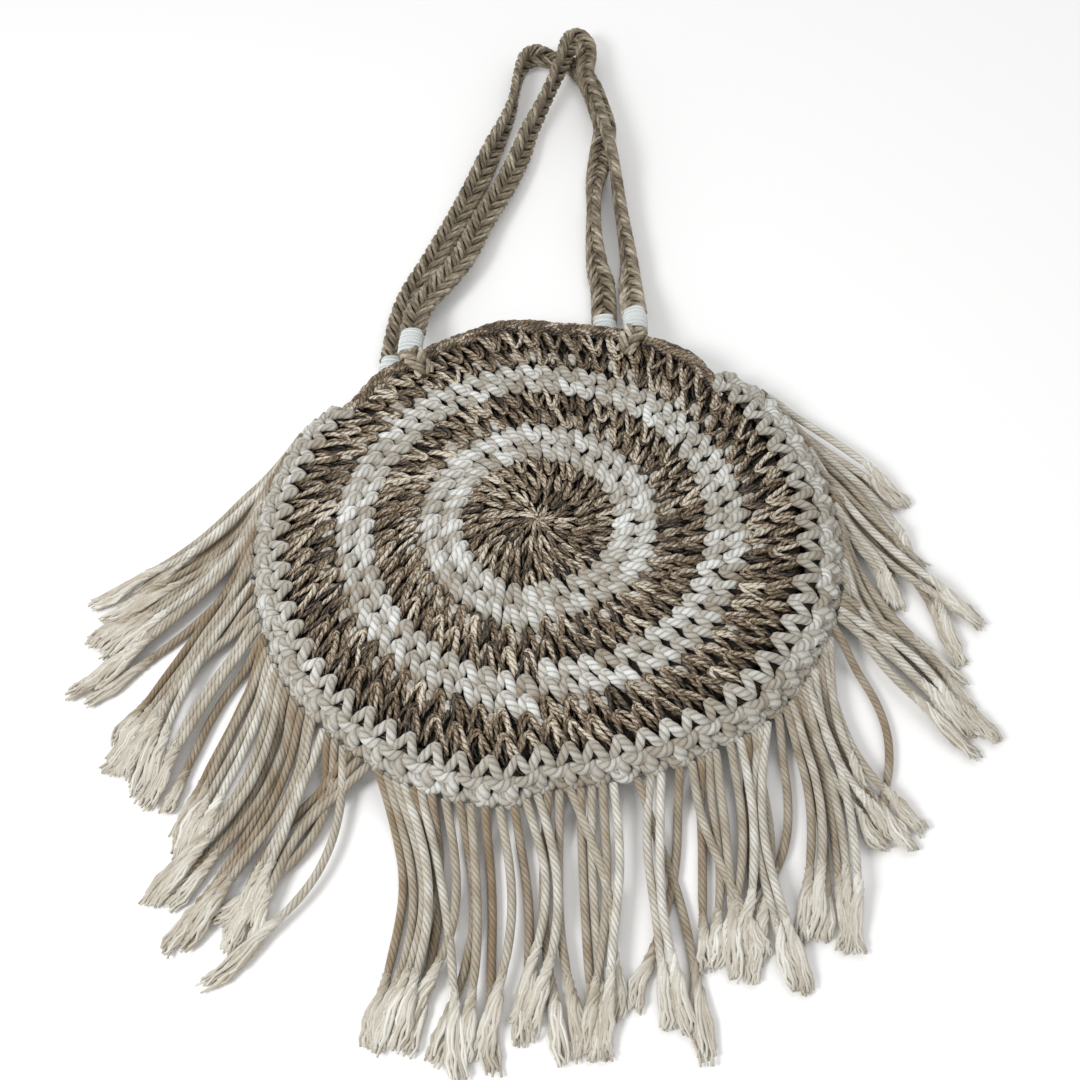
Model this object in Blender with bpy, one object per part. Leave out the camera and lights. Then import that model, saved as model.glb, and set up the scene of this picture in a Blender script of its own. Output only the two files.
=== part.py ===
"""A round crocheted shoulder bag that lies on its back: two striped panels, a white edging with a knotted
fringe, an open mouth at the top, and two flat braided handles that lie flat beyond the mouth.

Metres, +Z up. The origin is the centre of the back panel on the floor, and +Y points to the handles.
Angles are in degrees, anticlockwise from +X as seen from above.
"""

import functools
import math

import bmesh
import bpy
import numpy as np

# Crochet fabric
ROUND_WIDTH = 0.0125  # one round of stitches, which is also the jog of a stripe at the seam
FABRIC = 0.008  # thickness of a panel
HOLLOW = 0.014  # height of the space between the panels
DOME = 0.004  # how far the middle of the front panel stands up
GAP = 0.0003  # clearance between neighbouring pieces
PILLOW = 0.0013  # how far a stripe's edges fall below its top
PILLOW_WIDTH = 0.003
SEAM_ANGLE = 270.0  # where the rounds begin and the stripes jog
SEAM_HALF_GAP = 0.2  # degrees
ANGLE_STEP = 12.0  # degrees between sections, about

# Stripes from the middle outwards: name, yarn, rounds, jog of its outer border at the seam (share of a round)
STRIPES = (
    ("centre", "straw", 3.72, 0.4),
    ("white_inner", "cotton", 2.12, 0.65),
    ("straw_middle", "straw", 2.28, 0.95),
    ("white_outer", "cotton", 1.88, 0.95),
    ("straw_outer", "straw", 2.08, 0.0),
)
PANEL_RADIUS = ROUND_WIDTH * sum(rounds for _, _, rounds, _ in STRIPES)
# The hand-made panels aren't quite round: angle, share of the radius for the stripes' borders
STRIPE_SHAPE = (
    (270, 1.02),
    (290, 1.03),
    (320, 1.06),
    (380, 1.065),
    (450, 1.05),
    (480, 1.00),
    (505, 0.965),
    (545, 0.96),
    (590, 0.98),
    (630, 1.01),
)
# The same for the panels' edge, where the mouth's lip and the start of the edging show: angle, share
EDGE_SHAPE = (
    (272, 1.00),
    (300, 1.02),
    (318, 1.045),
    (345, 1.06),
    (390, 1.066),
    (404, 1.07),
    (414, 1.11),
    (430, 1.09),
    (442, 1.07),
    (458, 1.088),
    (470, 1.045),
    (481, 1.018),
    (489, 1.022),
    (501, 0.98),
    (512, 1.00),
    (550, 1.007),
    (585, 1.04),
    (615, 1.06),
    (624, 1.06),
    (632, 1.00),
)

# White edging that joins the panels, and the mouth that it leaves open
MOUTH_START = 44.0
MOUTH_END = 141.0
EDGE_DEPTH = 0.018  # how far the edging stands out of the panels
# The edging is deeper where it has a third row: angle, share of its depth
EDGE_ROWS = ((285, 0.85), (300, 1.0), (325, 1.35), (375, 1.35), (395, 1.5), (404, 1.25), (501, 1.0), (615, 1.0), (645, 0.85))
EDGE_WALL = 0.007
RIM_WIDTH = 0.0082
RIM_HEIGHT = 0.0072

# Fringe of cotton rope on a row of knots
ROPE = 0.005
KNOT_WIDTH = 0.0055  # depth of the knots outside the edging
KNOT_HEIGHT = 0.012
FRINGE_LENGTH = 0.150
DROP_SHARE = 0.22  # share of a lock in which it comes down from the knots to the floor
BRUSH_SHARE = 0.72  # where the unravelled end begins to widen
# Locks of the fringe: first and last knot (degrees), strands, heading (degrees), reach and sideways bow
# (shares of the fringe's length and of the reach), and the width of the brush (share of its strands' width)
LOCKS_LEFT = (
    (142, 152, 5, 231, 1.06, 0.04, 1.2),
    (153, 163, 5, 227, 1.00, 0.10, 1.2),
    (164, 171, 4, 231, 0.96, 0.06, 1.3),
    (172, 178, 3, 232, 1.02, 0.08, 1.2),
    (179, 185, 3, 245, 1.03, 0.02, 1.3),
    (187, 191, 2, 252, 0.99, -0.065, 1.3),
    (192, 198, 3, 238, 0.85, -0.05, 1.2),
    (199, 204, 3, 247, 0.79, -0.04, 1.2),
    (205, 211, 4, 253, 0.84, 0.01, 1.3),
    (212, 219, 4, 245, 0.90, 0.11, 1.3),
    (220, 224, 3, 246, 0.96, 0.08, 1.2),
    (225, 228, 2, 252, 0.76, 0.05, 1.2),
    (229, 231, 2, 242, 0.74, 0.17, 1.2),
    (232, 234, 1, 242, 0.90, 0.20, 1.6),
    (235, 239, 3, 241, 0.78, -0.09, 1.3),
)
LOCKS_BOTTOM = (
    (241, 248, 5, 270, 0.92, 0.12, 1.5),
    (249, 250, 1, 279, 0.98, 0.04, 1.8),
    (251, 252, 1, 262, 0.77, 0.08, 1.6),
    (253.5, 254.5, 1, 261, 0.82, 0.13, 1.6),
    (256, 257, 1, 265, 0.86, 0.12, 1.8),
    (258, 259, 1, 270, 0.85, 0.02, 1.6),
    (260.5, 261.5, 1, 272.5, 0.88, 0.03, 1.8),
    (263, 264, 1, 265, 0.84, 0.10, 1.8),
    (265.5, 266.5, 1, 272.5, 0.83, 0.045, 1.8),
    (268, 270, 2, 265, 0.78, 0.14, 1.4),
    (272, 274, 2, 273, 0.91, -0.03, 1.3),
    (275.5, 276.5, 1, 279, 0.80, 0.08, 1.4),
    (278, 280, 2, 272, 0.91, -0.02, 1.3),
    (282, 284, 2, 264, 0.91, 0.055, 1.1),
)
LOCKS_RIGHT = (
    (288, 289, 1, 281, 1.00, 0.04, 1.9),
    (291, 293, 2, 273, 0.90, -0.05, 1.4),
    (296, 297, 1, 257, 0.88, 0.06, 1.5),
    (298.5, 299.5, 1, 288, 0.72, -0.04, 1.5),
    (301, 304, 3, 268, 0.78, 0.02, 1.4),
    (307, 309, 2, 264, 0.76, 0.09, 1.5),
    (310.5, 312, 2, 265, 0.88, 0.05, 1.6),
    (313.5, 315, 2, 273, 0.96, -0.09, 1.3),
    (317, 318, 1, 258, 0.76, 0.10, 1.8),
    (319.5, 321, 2, 267, 0.88, 0.09, 1.2),
    (322, 326, 4, 272, 0.95, 0.07, 1.0),
    (327, 329, 2, 288, 0.68, -0.08, 1.5),
    (330, 333, 3, 292, 0.76, -0.10, 1.3),
    (334.5, 336.5, 2, 276, 0.66, -0.10, 1.2),
    (338.5, 339.5, 1, 274, 0.85, 0.13, 1.2),
    (341.5, 346, 4, 311, 0.64, 0.10, 1.4),
    (347, 350, 2, 308, 0.32, 0.00, 1.5),
    (352, 358, 4, 300, 0.92, -0.10, 1.2),
    (359.5, 363, 2, 300, 0.78, -0.08, 1.3),
    (365, 369, 3, 292, 0.50, 0.10, 1.3),
    (371, 375, 2, 296, 0.95, 0.11, 1.2),
    (377, 381, 2, 307, 1.00, -0.09, 1.2),
    (384, 388, 3, 304, 0.80, 0.02, 1.2),
    (394.5, 398, 3, 314, 0.80, 0.03, 1.2),
)
# The fringe in three runs: name, first and last angle of its row of knots, locks
FRINGES = (
    ("fringe_left", MOUTH_END + 0.3, 240.0, LOCKS_LEFT),
    ("fringe_bottom", 240.3, 285.7, LOCKS_BOTTOM),
    ("fringe_right", 286.0, MOUTH_START + 359.7, LOCKS_RIGHT),
)

# Handles: flat braids that end in white whippings, on loops over the rims of the mouth
STRAP_WIDTH = 0.019
STRAP_THICKNESS = 0.006
HANDLE_REACH = 0.350  # from the rims to the far bend
WHIPPING_LENGTH = 0.026
WHIPPING_WIDTH = 0.0165
WHIPPING_THICKNESS = 0.0105
LOOP_WIDTH = 0.015
LOOP_STRAND = 0.003
LOOP_TONGUE = 0.021  # how far a loop reaches over the panel from the rim's outer edge
FLOOR_GAP = 0.0002
FRONT_FEET = (121.0, 67.0)
BACK_FEET = (127.5, 74.0)
# A handle's route from its left foot to its right one: across (share of the way between the feet), along
# (share of the reach), lift (share of the strap's width above where it would lie), roll (0 flat, 90 on edge)
FRONT_ROUTE = (
    (0.023, 0.146, 0.66, 4),
    (0.134, 0.228, 0.58, 8),
    (0.220, 0.299, 0.52, 12),
    (0.296, 0.399, 0.42, 16),
    (0.405, 0.517, 0.30, 25),
    (0.479, 0.615, 0.20, 40),
    (0.529, 0.697, 0.16, 62),
    (0.581, 0.761, 0.22, 78),
    (0.642, 0.843, 0.34, 88),
    (0.701, 0.939, 0.42, 90),
    (0.737, 0.997, 0.42, 90),
    (0.791, 1.020, 0.42, 90),
    (0.842, 0.990, 0.42, 90),
    (0.852, 0.931, 0.42, 90),
    (0.830, 0.836, 0.42, 90),
    (0.885, 0.730, 0.42, 90),
    (0.921, 0.639, 0.42, 90),
    (0.944, 0.551, 0.42, 88),
    (0.958, 0.480, 0.20, 84),
    (0.977, 0.369, 0.02, 80),
    (0.994, 0.253, 0.00, 66),
    (0.993, 0.166, 0.20, 35),
)
BACK_ROUTE = (
    (0.052, 0.204, 0.10, 3),
    (0.174, 0.344, 0.00, 4),
    (0.277, 0.448, 0.00, 8),
    (0.373, 0.554, 0.00, 20),
    (0.454, 0.654, 0.00, 50),
    (0.511, 0.725, 0.00, 75),
    (0.556, 0.803, 0.00, 86),
    (0.578, 0.886, 0.00, 88),
    (0.612, 0.953, 0.00, 78),
    (0.680, 0.978, 0.00, 55),
    (0.764, 0.973, 0.00, 12),
    (0.877, 0.944, 0.00, 0),
    (0.972, 0.870, 0.00, 0),
    (1.027, 0.760, 0.00, 0),
    (1.053, 0.684, 0.00, 0),
    (1.034, 0.623, 0.00, 0),
    (1.000, 0.518, 0.00, 26),
    (0.977, 0.427, 0.00, 66),
    (0.966, 0.317, 0.00, 66),
    (0.978, 0.212, 0.00, 45),
    (1.001, 0.156, 0.06, 20),
)
ROUTE_STEPS = 2  # sections between two rows of a route

# Colours in linear light, and roughness
STRAW_COLOUR = (0.155, 0.105, 0.062, 1.0)
COTTON_COLOUR = (0.56, 0.54, 0.47, 1.0)
WHIPPING_COLOUR = (0.72, 0.73, 0.70, 1.0)


def material(name, colour, roughness):
    made = bpy.data.materials.new(name)
    made.use_nodes = True
    principled = made.node_tree.nodes["Principled BSDF"]
    principled.inputs["Base Color"].default_value = colour
    principled.inputs["Roughness"].default_value = roughness
    principled.inputs["Metallic"].default_value = 0.0
    return made


def polar(radius, degrees, height=0.0):
    angle = math.radians(degrees)
    return np.array((radius * math.cos(angle), radius * math.sin(angle), height))


def smooth(share):
    share = min(max(share, 0.0), 1.0)
    return share * share * (3.0 - 2.0 * share)


def from_table(table, at):
    """The value at `at` between the rows (place, value) of a table, eased between them."""
    for (low, first), (high, last) in zip(table, table[1:]):
        if low <= at <= high:
            return first + (last - first) * smooth((at - low) / (high - low))
    return table[0][1] if at < table[0][0] else table[-1][1]


def section_angles():
    """The angles of all sections, from the seam round to the seam, with one at each end of the mouth."""
    borders = (SEAM_ANGLE + SEAM_HALF_GAP, MOUTH_START + 360.0, MOUTH_END + 360.0, SEAM_ANGLE + 360.0 - SEAM_HALF_GAP)
    angles = [borders[0]]
    for start, end in zip(borders, borders[1:]):
        count = round((end - start) / ANGLE_STEP)
        angles += [start + (end - start) * (i + 1) / count for i in range(count)]
    return angles


def shape_at(table, degrees):
    """The value of a table that runs once round the bag, from its first angle on."""
    start = table[0][0]
    return from_table(table, (degrees - start) % 360.0 + start)


def on_chord(radius_at, degrees):
    """A radius between two sections, where the skin runs along a chord from the one to the other."""
    angles = section_angles()
    turned = (degrees - angles[0]) % 360.0 + angles[0]
    for near, far in zip(angles, (*angles[1:], angles[0] + 360.0)):
        if near <= turned <= far:
            first, last = radius_at(near), radius_at(far)
            passed, left = math.radians(turned - near), math.radians(far - turned)
            return first * last * math.sin(passed + left) / (first * math.sin(passed) + last * math.sin(left))
    return radius_at(degrees)


def new_object(name, bm, yarn, collection):
    """A bmesh as a smooth-shaded object with its own material."""
    bmesh.ops.recalc_face_normals(bm, faces=bm.faces)
    mesh = bpy.data.meshes.new(name)
    bm.to_mesh(mesh)
    bm.free()
    if sum(polygon_volume(mesh)) < 0.0:
        mesh.flip_normals()
    made = bpy.data.objects.new(name, mesh)
    collection.objects.link(made)
    mesh.materials.append(material(name + "_" + yarn, *YARNS[yarn]))
    mesh.shade_smooth()
    mesh.set_sharp_from_angle(angle=math.radians(40.0))
    return made


def polygon_volume(mesh):
    """Signed volumes of the cones from the origin to each polygon."""
    for polygon in mesh.polygons:
        yield polygon.normal.dot(polygon.center) * polygon.area / 3.0


def loft(bm, sections):
    """A closed skin through rings of equally many points, with an n-gon at each end."""
    rings = [[bm.verts.new(point) for point in section] for section in sections]
    for near, far in zip(rings, rings[1:]):
        for i in range(len(near)):
            j = (i + 1) % len(near)
            bm.faces.new((near[i], near[j], far[j], far[i]))
    bm.faces.new(rings[0])
    bm.faces.new(list(reversed(rings[-1])))


# The panels


def seam_share(degrees):
    """0 just past the seam, growing to 1 at the end of the round."""
    return (degrees - SEAM_ANGLE) / 360.0


def stripe_radius(rounds, jog, degrees):
    """The border of a stripe, `rounds` from the middle, which moves out by its jog in a turn."""
    return ROUND_WIDTH * (rounds + jog * (seam_share(degrees) - 0.5)) * from_table(STRIPE_SHAPE, degrees)


def panel_edge(degrees):
    """The outer border of a panel."""
    return PANEL_RADIUS * shape_at(EDGE_SHAPE, degrees)


def edging_face(degrees):
    """The outer side of the edging, which the fringe's knots lie against."""
    return panel_edge(degrees) + GAP + EDGE_DEPTH * shape_at(EDGE_ROWS, degrees)


def front_height(radius):
    """The underside of the front panel, which stands up a little in the middle."""
    share = min(radius / PANEL_RADIUS, 1.0)
    return FABRIC + HOLLOW + DOME * (1.0 - share * share)


def panel_sections(inner_border, outer_border, is_front):
    """Sections of one stripe, from the seam round to the seam, between two borders (functions of the angle)."""
    sections = []
    for degrees in section_angles():
        near = inner_border(degrees) + GAP / 2.0
        far = outer_border(degrees) - GAP / 2.0
        outline = ((near, 0.0), (far, 0.0), (far, 1.0), (far - PILLOW_WIDTH, 2.0), (near + PILLOW_WIDTH, 2.0), (near, 1.0))
        ring = []
        for radius, level in outline:
            height = (0.0, FABRIC - PILLOW, FABRIC)[int(level)]
            base = front_height(radius) if is_front else FABRIC
            ring.append(polar(radius, degrees, base + height if is_front else base - height))
        sections.append(ring)
    return sections


def centre_disc(bm, outer_border, is_front):
    """The middle of a panel: a disc whose border steps at the seam."""
    sections = panel_sections(lambda degrees: 0.0, outer_border, is_front)
    inside = front_height(0.0) if is_front else FABRIC
    outside = inside + FABRIC if is_front else 0.0
    below = bm.verts.new((0.0, 0.0, inside))
    above = bm.verts.new((0.0, 0.0, outside))
    rings = [[bm.verts.new(section[k]) for k in (1, 2, 3)] for section in sections]
    for i in range(len(rings)):
        near, far = rings[i], rings[(i + 1) % len(rings)]
        bm.faces.new((below, far[0], near[0]))
        bm.faces.new((near[0], far[0], far[1], near[1]))
        bm.faces.new((near[1], far[1], far[2], near[2]))
        bm.faces.new((above, near[2], far[2]))


def panel(side, collection):
    is_front = side == "front"
    total = 0.0
    inner_border = None
    for name, yarn, rounds, jog in STRIPES:
        total += rounds
        is_last = name == STRIPES[-1][0]
        outer_border = panel_edge if is_last else functools.partial(stripe_radius, total, jog)
        bm = bmesh.new()
        if inner_border is None:
            centre_disc(bm, outer_border, is_front)
        else:
            loft(bm, panel_sections(inner_border, outer_border, is_front))
        new_object(side + "_" + name, bm, yarn, collection)
        inner_border = outer_border


# The edging and the rims


def sweep(bm, outline, start, end):
    """A skin along an arc, with the panels' sections. The outline is a list of points, each a function that
    gives the radius at an angle, and a height."""
    least = 0.5
    turns = [angle + turn for angle in section_angles() for turn in (-360.0, 0.0)]
    inside = sorted(angle for angle in turns if start + least < angle < end - least)
    loft(bm, [[polar(on_chord(radius_at, degrees), degrees, height) for radius_at, height in outline]
              for degrees in (start, *inside, end)])


def edging_outline():
    """A C-shaped wall from the front panel round to the back one, open towards the hollow."""
    middle = FABRIC + HOLLOW / 2.0
    turns = [math.radians(90.0 - 30.0 * i) for i in range(7)]

    def point(turn, wall, half_height):
        def radius_at(degrees):
            border = panel_edge(degrees) + GAP
            return border + (edging_face(degrees) - border - wall) * math.cos(turn)

        return radius_at, middle + half_height * math.sin(turn)

    outside = [point(turn, 0.0, middle) for turn in turns]
    inside = [point(turn, EDGE_WALL, HOLLOW / 2.0) for turn in reversed(turns)]
    return outside + inside


def rim_outline(middle):
    """The chain along the mouth as an eight-sided cord about the height `middle`."""
    turns = [math.radians(22.5 + 45.0 * i) for i in range(8)]
    grow = 1.0 / math.cos(math.radians(22.5))

    def point(turn):
        reach = RIM_WIDTH / 2.0 * (1.0 + grow * math.cos(turn))
        return (lambda degrees: panel_edge(degrees) + GAP + reach), middle + RIM_HEIGHT / 2.0 * grow * math.sin(turn)

    return [point(turn) for turn in turns]


def edging(collection):
    bm = bmesh.new()
    sweep(bm, edging_outline(), MOUTH_END + 0.3, MOUTH_START + 359.7)
    new_object("edge_band", bm, "cotton", collection)
    for name, middle in (("front_rim", FABRIC * 1.5 + HOLLOW), ("back_rim", FABRIC / 2.0)):
        bm = bmesh.new()
        sweep(bm, rim_outline(middle), MOUTH_START, MOUTH_END)
        new_object(name, bm, "straw", collection)


# The fringe


def knots_outline():
    """The row of knots that the locks hang from."""
    middle = FABRIC + HOLLOW / 2.0
    outline = []
    for width_share, height_share in ((0.0, -1.0), (0.7, -1.0), (1.0, -0.4), (1.0, 0.4), (0.7, 1.0), (0.0, 1.0)):
        radius_at = functools.partial(knot_radius, width_share)
        outline.append((radius_at, middle + KNOT_HEIGHT / 2.0 * height_share))
    return outline


def knot_radius(share, degrees):
    """A radius inside the row of knots: 0 at the edging, 1 at the outer side."""
    return edging_face(degrees) + GAP + KNOT_WIDTH * share


def lock(bm, number, row):
    """One lock: from its knots down to the floor, along its heading with a bow, and out into its brush."""
    first, last, strands, heading, reach, bow, brush = row
    root_height = FABRIC + HOLLOW / 2.0
    edges = [polar(on_chord(functools.partial(knot_radius, 0.6), angle), angle) for angle in (first, last)]
    along = polar(1.0, heading)
    across = polar(1.0, heading + 90.0)
    length = reach * FRINGE_LENGTH
    tip = (edges[0] + edges[1]) / 2.0 + along * length
    bundle = strands * ROPE
    thickness = ROPE * (1.0 if strands < 3 else 1.35) * (1.0 + 0.012 * (number % 5))
    rest = thickness / 2.0 + FLOOR_GAP * (2 + number % 3)
    sections = []
    for share in (0.0, 0.12, 0.30, 0.52, BRUSH_SHARE, 1.0):
        middle = (edges[0] + edges[1]) / 2.0 * (1.0 - share) + tip * share
        narrow = smooth(share / 0.3)
        width = bundle * (1.0 + (brush - 1.0) * smooth((share - BRUSH_SHARE) / (1.0 - BRUSH_SHARE)))
        side = (edges[1] - edges[0]) / 2.0 * (1.0 - narrow) + across * (width / 2.0 * narrow + ROPE * 0.3 * (1.0 - narrow))
        middle = middle + across * (bow * length * math.sin(math.pi * share))
        middle[2] = rest + (root_height - rest) * (1.0 - smooth(share / DROP_SHARE))
        flat = 0.8 if share == 1.0 else 1.0
        up = np.array((0.0, 0.0, thickness / 2.0 * flat))
        if strands < 3:
            ring = (middle - side, middle - up, middle + side, middle + up)
        else:
            ring = (middle - side, middle - side * 0.55 - up, middle + side * 0.55 - up,
                    middle + side, middle + side * 0.55 + up, middle - side * 0.55 + up)
        sections.append(ring)
    loft(bm, sections)


def fringe(collection, helpers):
    for name, start, end, locks in FRINGES:
        bm = bmesh.new()
        sweep(bm, knots_outline(), start, end)
        head = new_object(name, bm, "cotton", collection)
        bm = bmesh.new()
        for number, row in enumerate(locks):
            lock(bm, number, row)
        bundle = new_object(name + "_locks", bm, "cotton", helpers)
        bundle.hide_render = True
        bundle.display_type = "WIRE"
        join = head.modifiers.new("join_locks", "BOOLEAN")
        join.operation = "UNION"
        join.object = bundle
        join.use_self = True


# The handles


def catmull(rows, share_steps):
    """Points on a smooth curve through the rows, with `share_steps` to each stretch."""
    rows = np.array(rows)
    padded = np.vstack((2.0 * rows[0] - rows[1], rows, 2.0 * rows[-1] - rows[-2]))
    points = []
    for i in range(len(rows) - 1):
        before, near, far, after = padded[i : i + 4]
        for step in range(share_steps):
            t = step / share_steps
            points.append(
                0.5 * (2.0 * near + (far - before) * t + (2.0 * before - 5.0 * near + 4.0 * far - after) * t * t
                       + (3.0 * near - before - 3.0 * far + after) * t * t * t)
            )
    points.append(rows[-1])
    return np.array(points)


def rim_radius(degrees):
    return panel_edge(degrees) + GAP + RIM_WIDTH


def rim_face(degrees):
    """How far out the rim reaches along one direction, over the width of a loop."""
    half = math.degrees(LOOP_WIDTH / 2.0 / PANEL_RADIUS)
    turns = [degrees + half * i / 4.0 for i in range(-4, 5)]
    return max(on_chord(rim_radius, turn) * math.cos(math.radians(turn - degrees)) for turn in turns)


def foot(degrees, height):
    """Where a whipping meets the loop on the rim."""
    return polar(rim_face(degrees) + LOOP_STRAND + 3.0 * GAP, degrees, height)


def resting_height(roll):
    """The height of a strap's centre where it lies on the floor, turned by `roll` degrees."""
    turn = np.radians(roll)
    return np.abs(np.sin(turn)) * STRAP_WIDTH / 2.0 + np.abs(np.cos(turn)) * STRAP_THICKNESS / 2.0 + FLOOR_GAP


def strap_line(feet, foot_height, route):
    """Centre, roll and direction along a handle, whippings included: rows of x, y, z, roll, dx, dy, dz."""
    left, right = foot(feet[0], foot_height), foot(feet[1], foot_height)
    rows = [(*left, 0.0)]
    for across, along, lift, roll in route:
        place = left + (right - left) * across
        height = resting_height(roll) + lift * STRAP_WIDTH
        rows.append((place[0], place[1] + along * HANDLE_REACH, height, roll))
    rows.append((*right, 0.0))
    line = catmull(rows, ROUTE_STEPS)
    line[1:-1, 2] = np.maximum(line[1:-1, 2], resting_height(line[1:-1, 3]))
    return np.hstack((line, np.gradient(line[:, :3], axis=0)))


def strap_frames(line, first=None, last=None):
    """For each point its centre, the direction across the strap and the one out of its face. `first` and
    `last` are the directions that the end faces look along, where they lie against a loop."""
    centres, tangents = line[:, :3], line[:, 4:].copy()
    if first is not None:
        tangents[0] = first
    if last is not None:
        tangents[-1] = last
    frames = []
    for centre, tangent, roll in zip(centres, tangents, np.radians(line[:, 3])):
        tangent = tangent / np.linalg.norm(tangent)
        level = np.cross((0.0, 0.0, 1.0), tangent)
        level = level / np.linalg.norm(level)
        upright = np.cross(tangent, level)
        across = level * math.cos(roll) + upright * math.sin(roll)
        face = np.cross(tangent, across)
        frames.append((centre, across, face))
    return frames


def cut_line(line, start, end):
    """The stretch of a line between two arc lengths."""
    steps = np.linalg.norm(np.diff(line[:, :3], axis=0), axis=1)
    lengths = np.concatenate(([0.0], np.cumsum(steps)))
    inside = [s for s in lengths if start + 0.002 < s < end - 0.002]
    wanted = np.array([start, *inside, end])
    return np.stack([np.interp(wanted, lengths, column) for column in line.T], axis=1)


def strap_piece(name, line, profile, yarn, collection, first=None, last=None):
    bm = bmesh.new()
    frames = strap_frames(line, first, last)
    loft(bm, [[centre + across * x + face * y for x, y in profile] for centre, across, face in frames])
    new_object(name, bm, yarn, collection)


def oval(width, thickness, sides):
    turns = [2.0 * math.pi * (i + 0.5) / sides for i in range(sides)]
    return [(width / 2.0 * math.cos(a), thickness / 2.0 * math.sin(a)) for a in turns]


def braid_profile():
    half, up = STRAP_WIDTH / 2.0, STRAP_THICKNESS / 2.0
    return ((-half, 0.0), (-0.72 * half, -up), (0.72 * half, -up), (half, 0.0), (0.72 * half, up), (-0.72 * half, up))


def loop_over_rim(name, degrees, is_front, collection):
    """The end of a braid doubled over the rim: a tongue on either face, or on the back panel only inside."""
    rim = rim_face(degrees) + GAP
    reach = rim - LOOP_TONGUE
    under = front_height(rim) - GAP if is_front else FABRIC + GAP
    over = front_height(reach) + FABRIC + GAP
    if is_front:
        outline = ((rim, under), (reach, under), (reach, under - LOOP_STRAND), (rim + LOOP_STRAND, under - LOOP_STRAND),
                   (rim + LOOP_STRAND, over + LOOP_STRAND * 0.4), (rim, over + LOOP_STRAND),
                   (reach, over + LOOP_STRAND), (reach, over), (rim, over))
    else:
        outline = ((rim, FLOOR_GAP), (rim + LOOP_STRAND, FLOOR_GAP), (rim + LOOP_STRAND, under + LOOP_STRAND),
                   (reach, under + LOOP_STRAND), (reach, under), (rim, under))
    side = polar(LOOP_WIDTH / 2.0, degrees + 90.0)
    bm = bmesh.new()
    loft(bm, [[polar(radius, degrees, height) + side * end for radius, height in outline] for end in (-1.0, 1.0)])
    new_object(name, bm, "straw", collection)


def handles(collection):
    sets = (
        ("front", FRONT_FEET, FABRIC + HOLLOW + FABRIC * 0.55, FRONT_ROUTE),
        ("back", BACK_FEET, WHIPPING_THICKNESS / 2.0 + 2.0 * FLOOR_GAP, BACK_ROUTE),
    )
    for name, feet, foot_height, route in sets:
        line = strap_line(feet, foot_height, route)
        total = np.linalg.norm(np.diff(line[:, :3], axis=0), axis=1).sum()
        whipping = oval(WHIPPING_WIDTH, WHIPPING_THICKNESS, 8)
        strap_piece("handle_" + name, cut_line(line, WHIPPING_LENGTH + GAP, total - WHIPPING_LENGTH - GAP),
                    braid_profile(), "straw", collection)
        strap_piece("whipping_" + name + "_left", cut_line(line, 0.0, WHIPPING_LENGTH), whipping, "whipping",
                    collection, first=polar(1.0, feet[0]))
        strap_piece("whipping_" + name + "_right", cut_line(line, total - WHIPPING_LENGTH, total), whipping,
                    "whipping", collection, last=polar(-1.0, feet[1]))
        for side, degrees in zip(("left", "right"), feet):
            loop_over_rim("loop_" + name + "_" + side, degrees, name == "front", collection)


YARNS = {
    "straw": (STRAW_COLOUR, 0.85),
    "cotton": (COTTON_COLOUR, 0.8),
    "whipping": (WHIPPING_COLOUR, 0.7),
}


def main():
    for old in list(bpy.data.objects):
        bpy.data.objects.remove(old)
    parts = bpy.data.collections.new("fringe_bag")
    helpers = bpy.data.collections.new("helpers")
    bpy.context.scene.collection.children.link(parts)
    bpy.context.scene.collection.children.link(helpers)
    panel("front", parts)
    panel("back", parts)
    edging(parts)
    fringe(parts, helpers)
    handles(parts)


main()
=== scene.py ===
"""The looks of a crocheted fringe bag that lies on its back: straw and white cotton rounds, a white edging
with knotted rope fringe, and two flat braided handles. Metres, the origin in the middle of the back panel.
"""

import math

import bpy
import numpy as np
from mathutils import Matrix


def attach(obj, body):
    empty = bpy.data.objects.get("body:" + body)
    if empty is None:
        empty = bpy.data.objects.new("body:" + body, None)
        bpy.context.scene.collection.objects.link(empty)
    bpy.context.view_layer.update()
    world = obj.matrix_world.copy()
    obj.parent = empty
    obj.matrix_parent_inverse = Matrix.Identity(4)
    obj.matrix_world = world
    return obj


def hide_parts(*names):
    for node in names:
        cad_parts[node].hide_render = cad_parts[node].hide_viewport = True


# The table that the bag lies on, the soft light and the camera.
# The camera stands below the bag's lower edge and looks down at it, as in the photograph.
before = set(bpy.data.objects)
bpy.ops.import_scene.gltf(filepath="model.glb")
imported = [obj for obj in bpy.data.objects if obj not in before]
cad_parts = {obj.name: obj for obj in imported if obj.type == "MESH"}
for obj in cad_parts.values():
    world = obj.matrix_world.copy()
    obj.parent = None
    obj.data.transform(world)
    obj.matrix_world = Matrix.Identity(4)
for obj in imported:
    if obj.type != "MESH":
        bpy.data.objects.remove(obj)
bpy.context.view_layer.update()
chance = np.random.default_rng(11)

camera = bpy.data.objects.new("camera", bpy.data.cameras.new("camera"))
camera.location = (0.0, -0.47493, 0.68469)
camera.rotation_euler = (math.radians(35.153), 0.0, math.radians(-0.273))
camera.data.sensor_width = 36.0
camera.data.lens = 44.0
bpy.context.scene.collection.objects.link(camera)
bpy.context.scene.camera = camera


def soft_light(name, place, aim, size, power):
    lamp = bpy.data.lights.new(name, "AREA")
    lamp.shape = "DISK"
    lamp.size = size
    lamp.energy = power
    holder = bpy.data.objects.new(name, lamp)
    holder.location = place
    away = np.array(place) - np.array(aim)
    flat = math.hypot(away[0], away[1])
    holder.rotation_euler = (math.atan2(flat, away[2]), 0.0, math.atan2(away[1], away[0]) + math.pi / 2.0)
    bpy.context.scene.collection.objects.link(holder)


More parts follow.
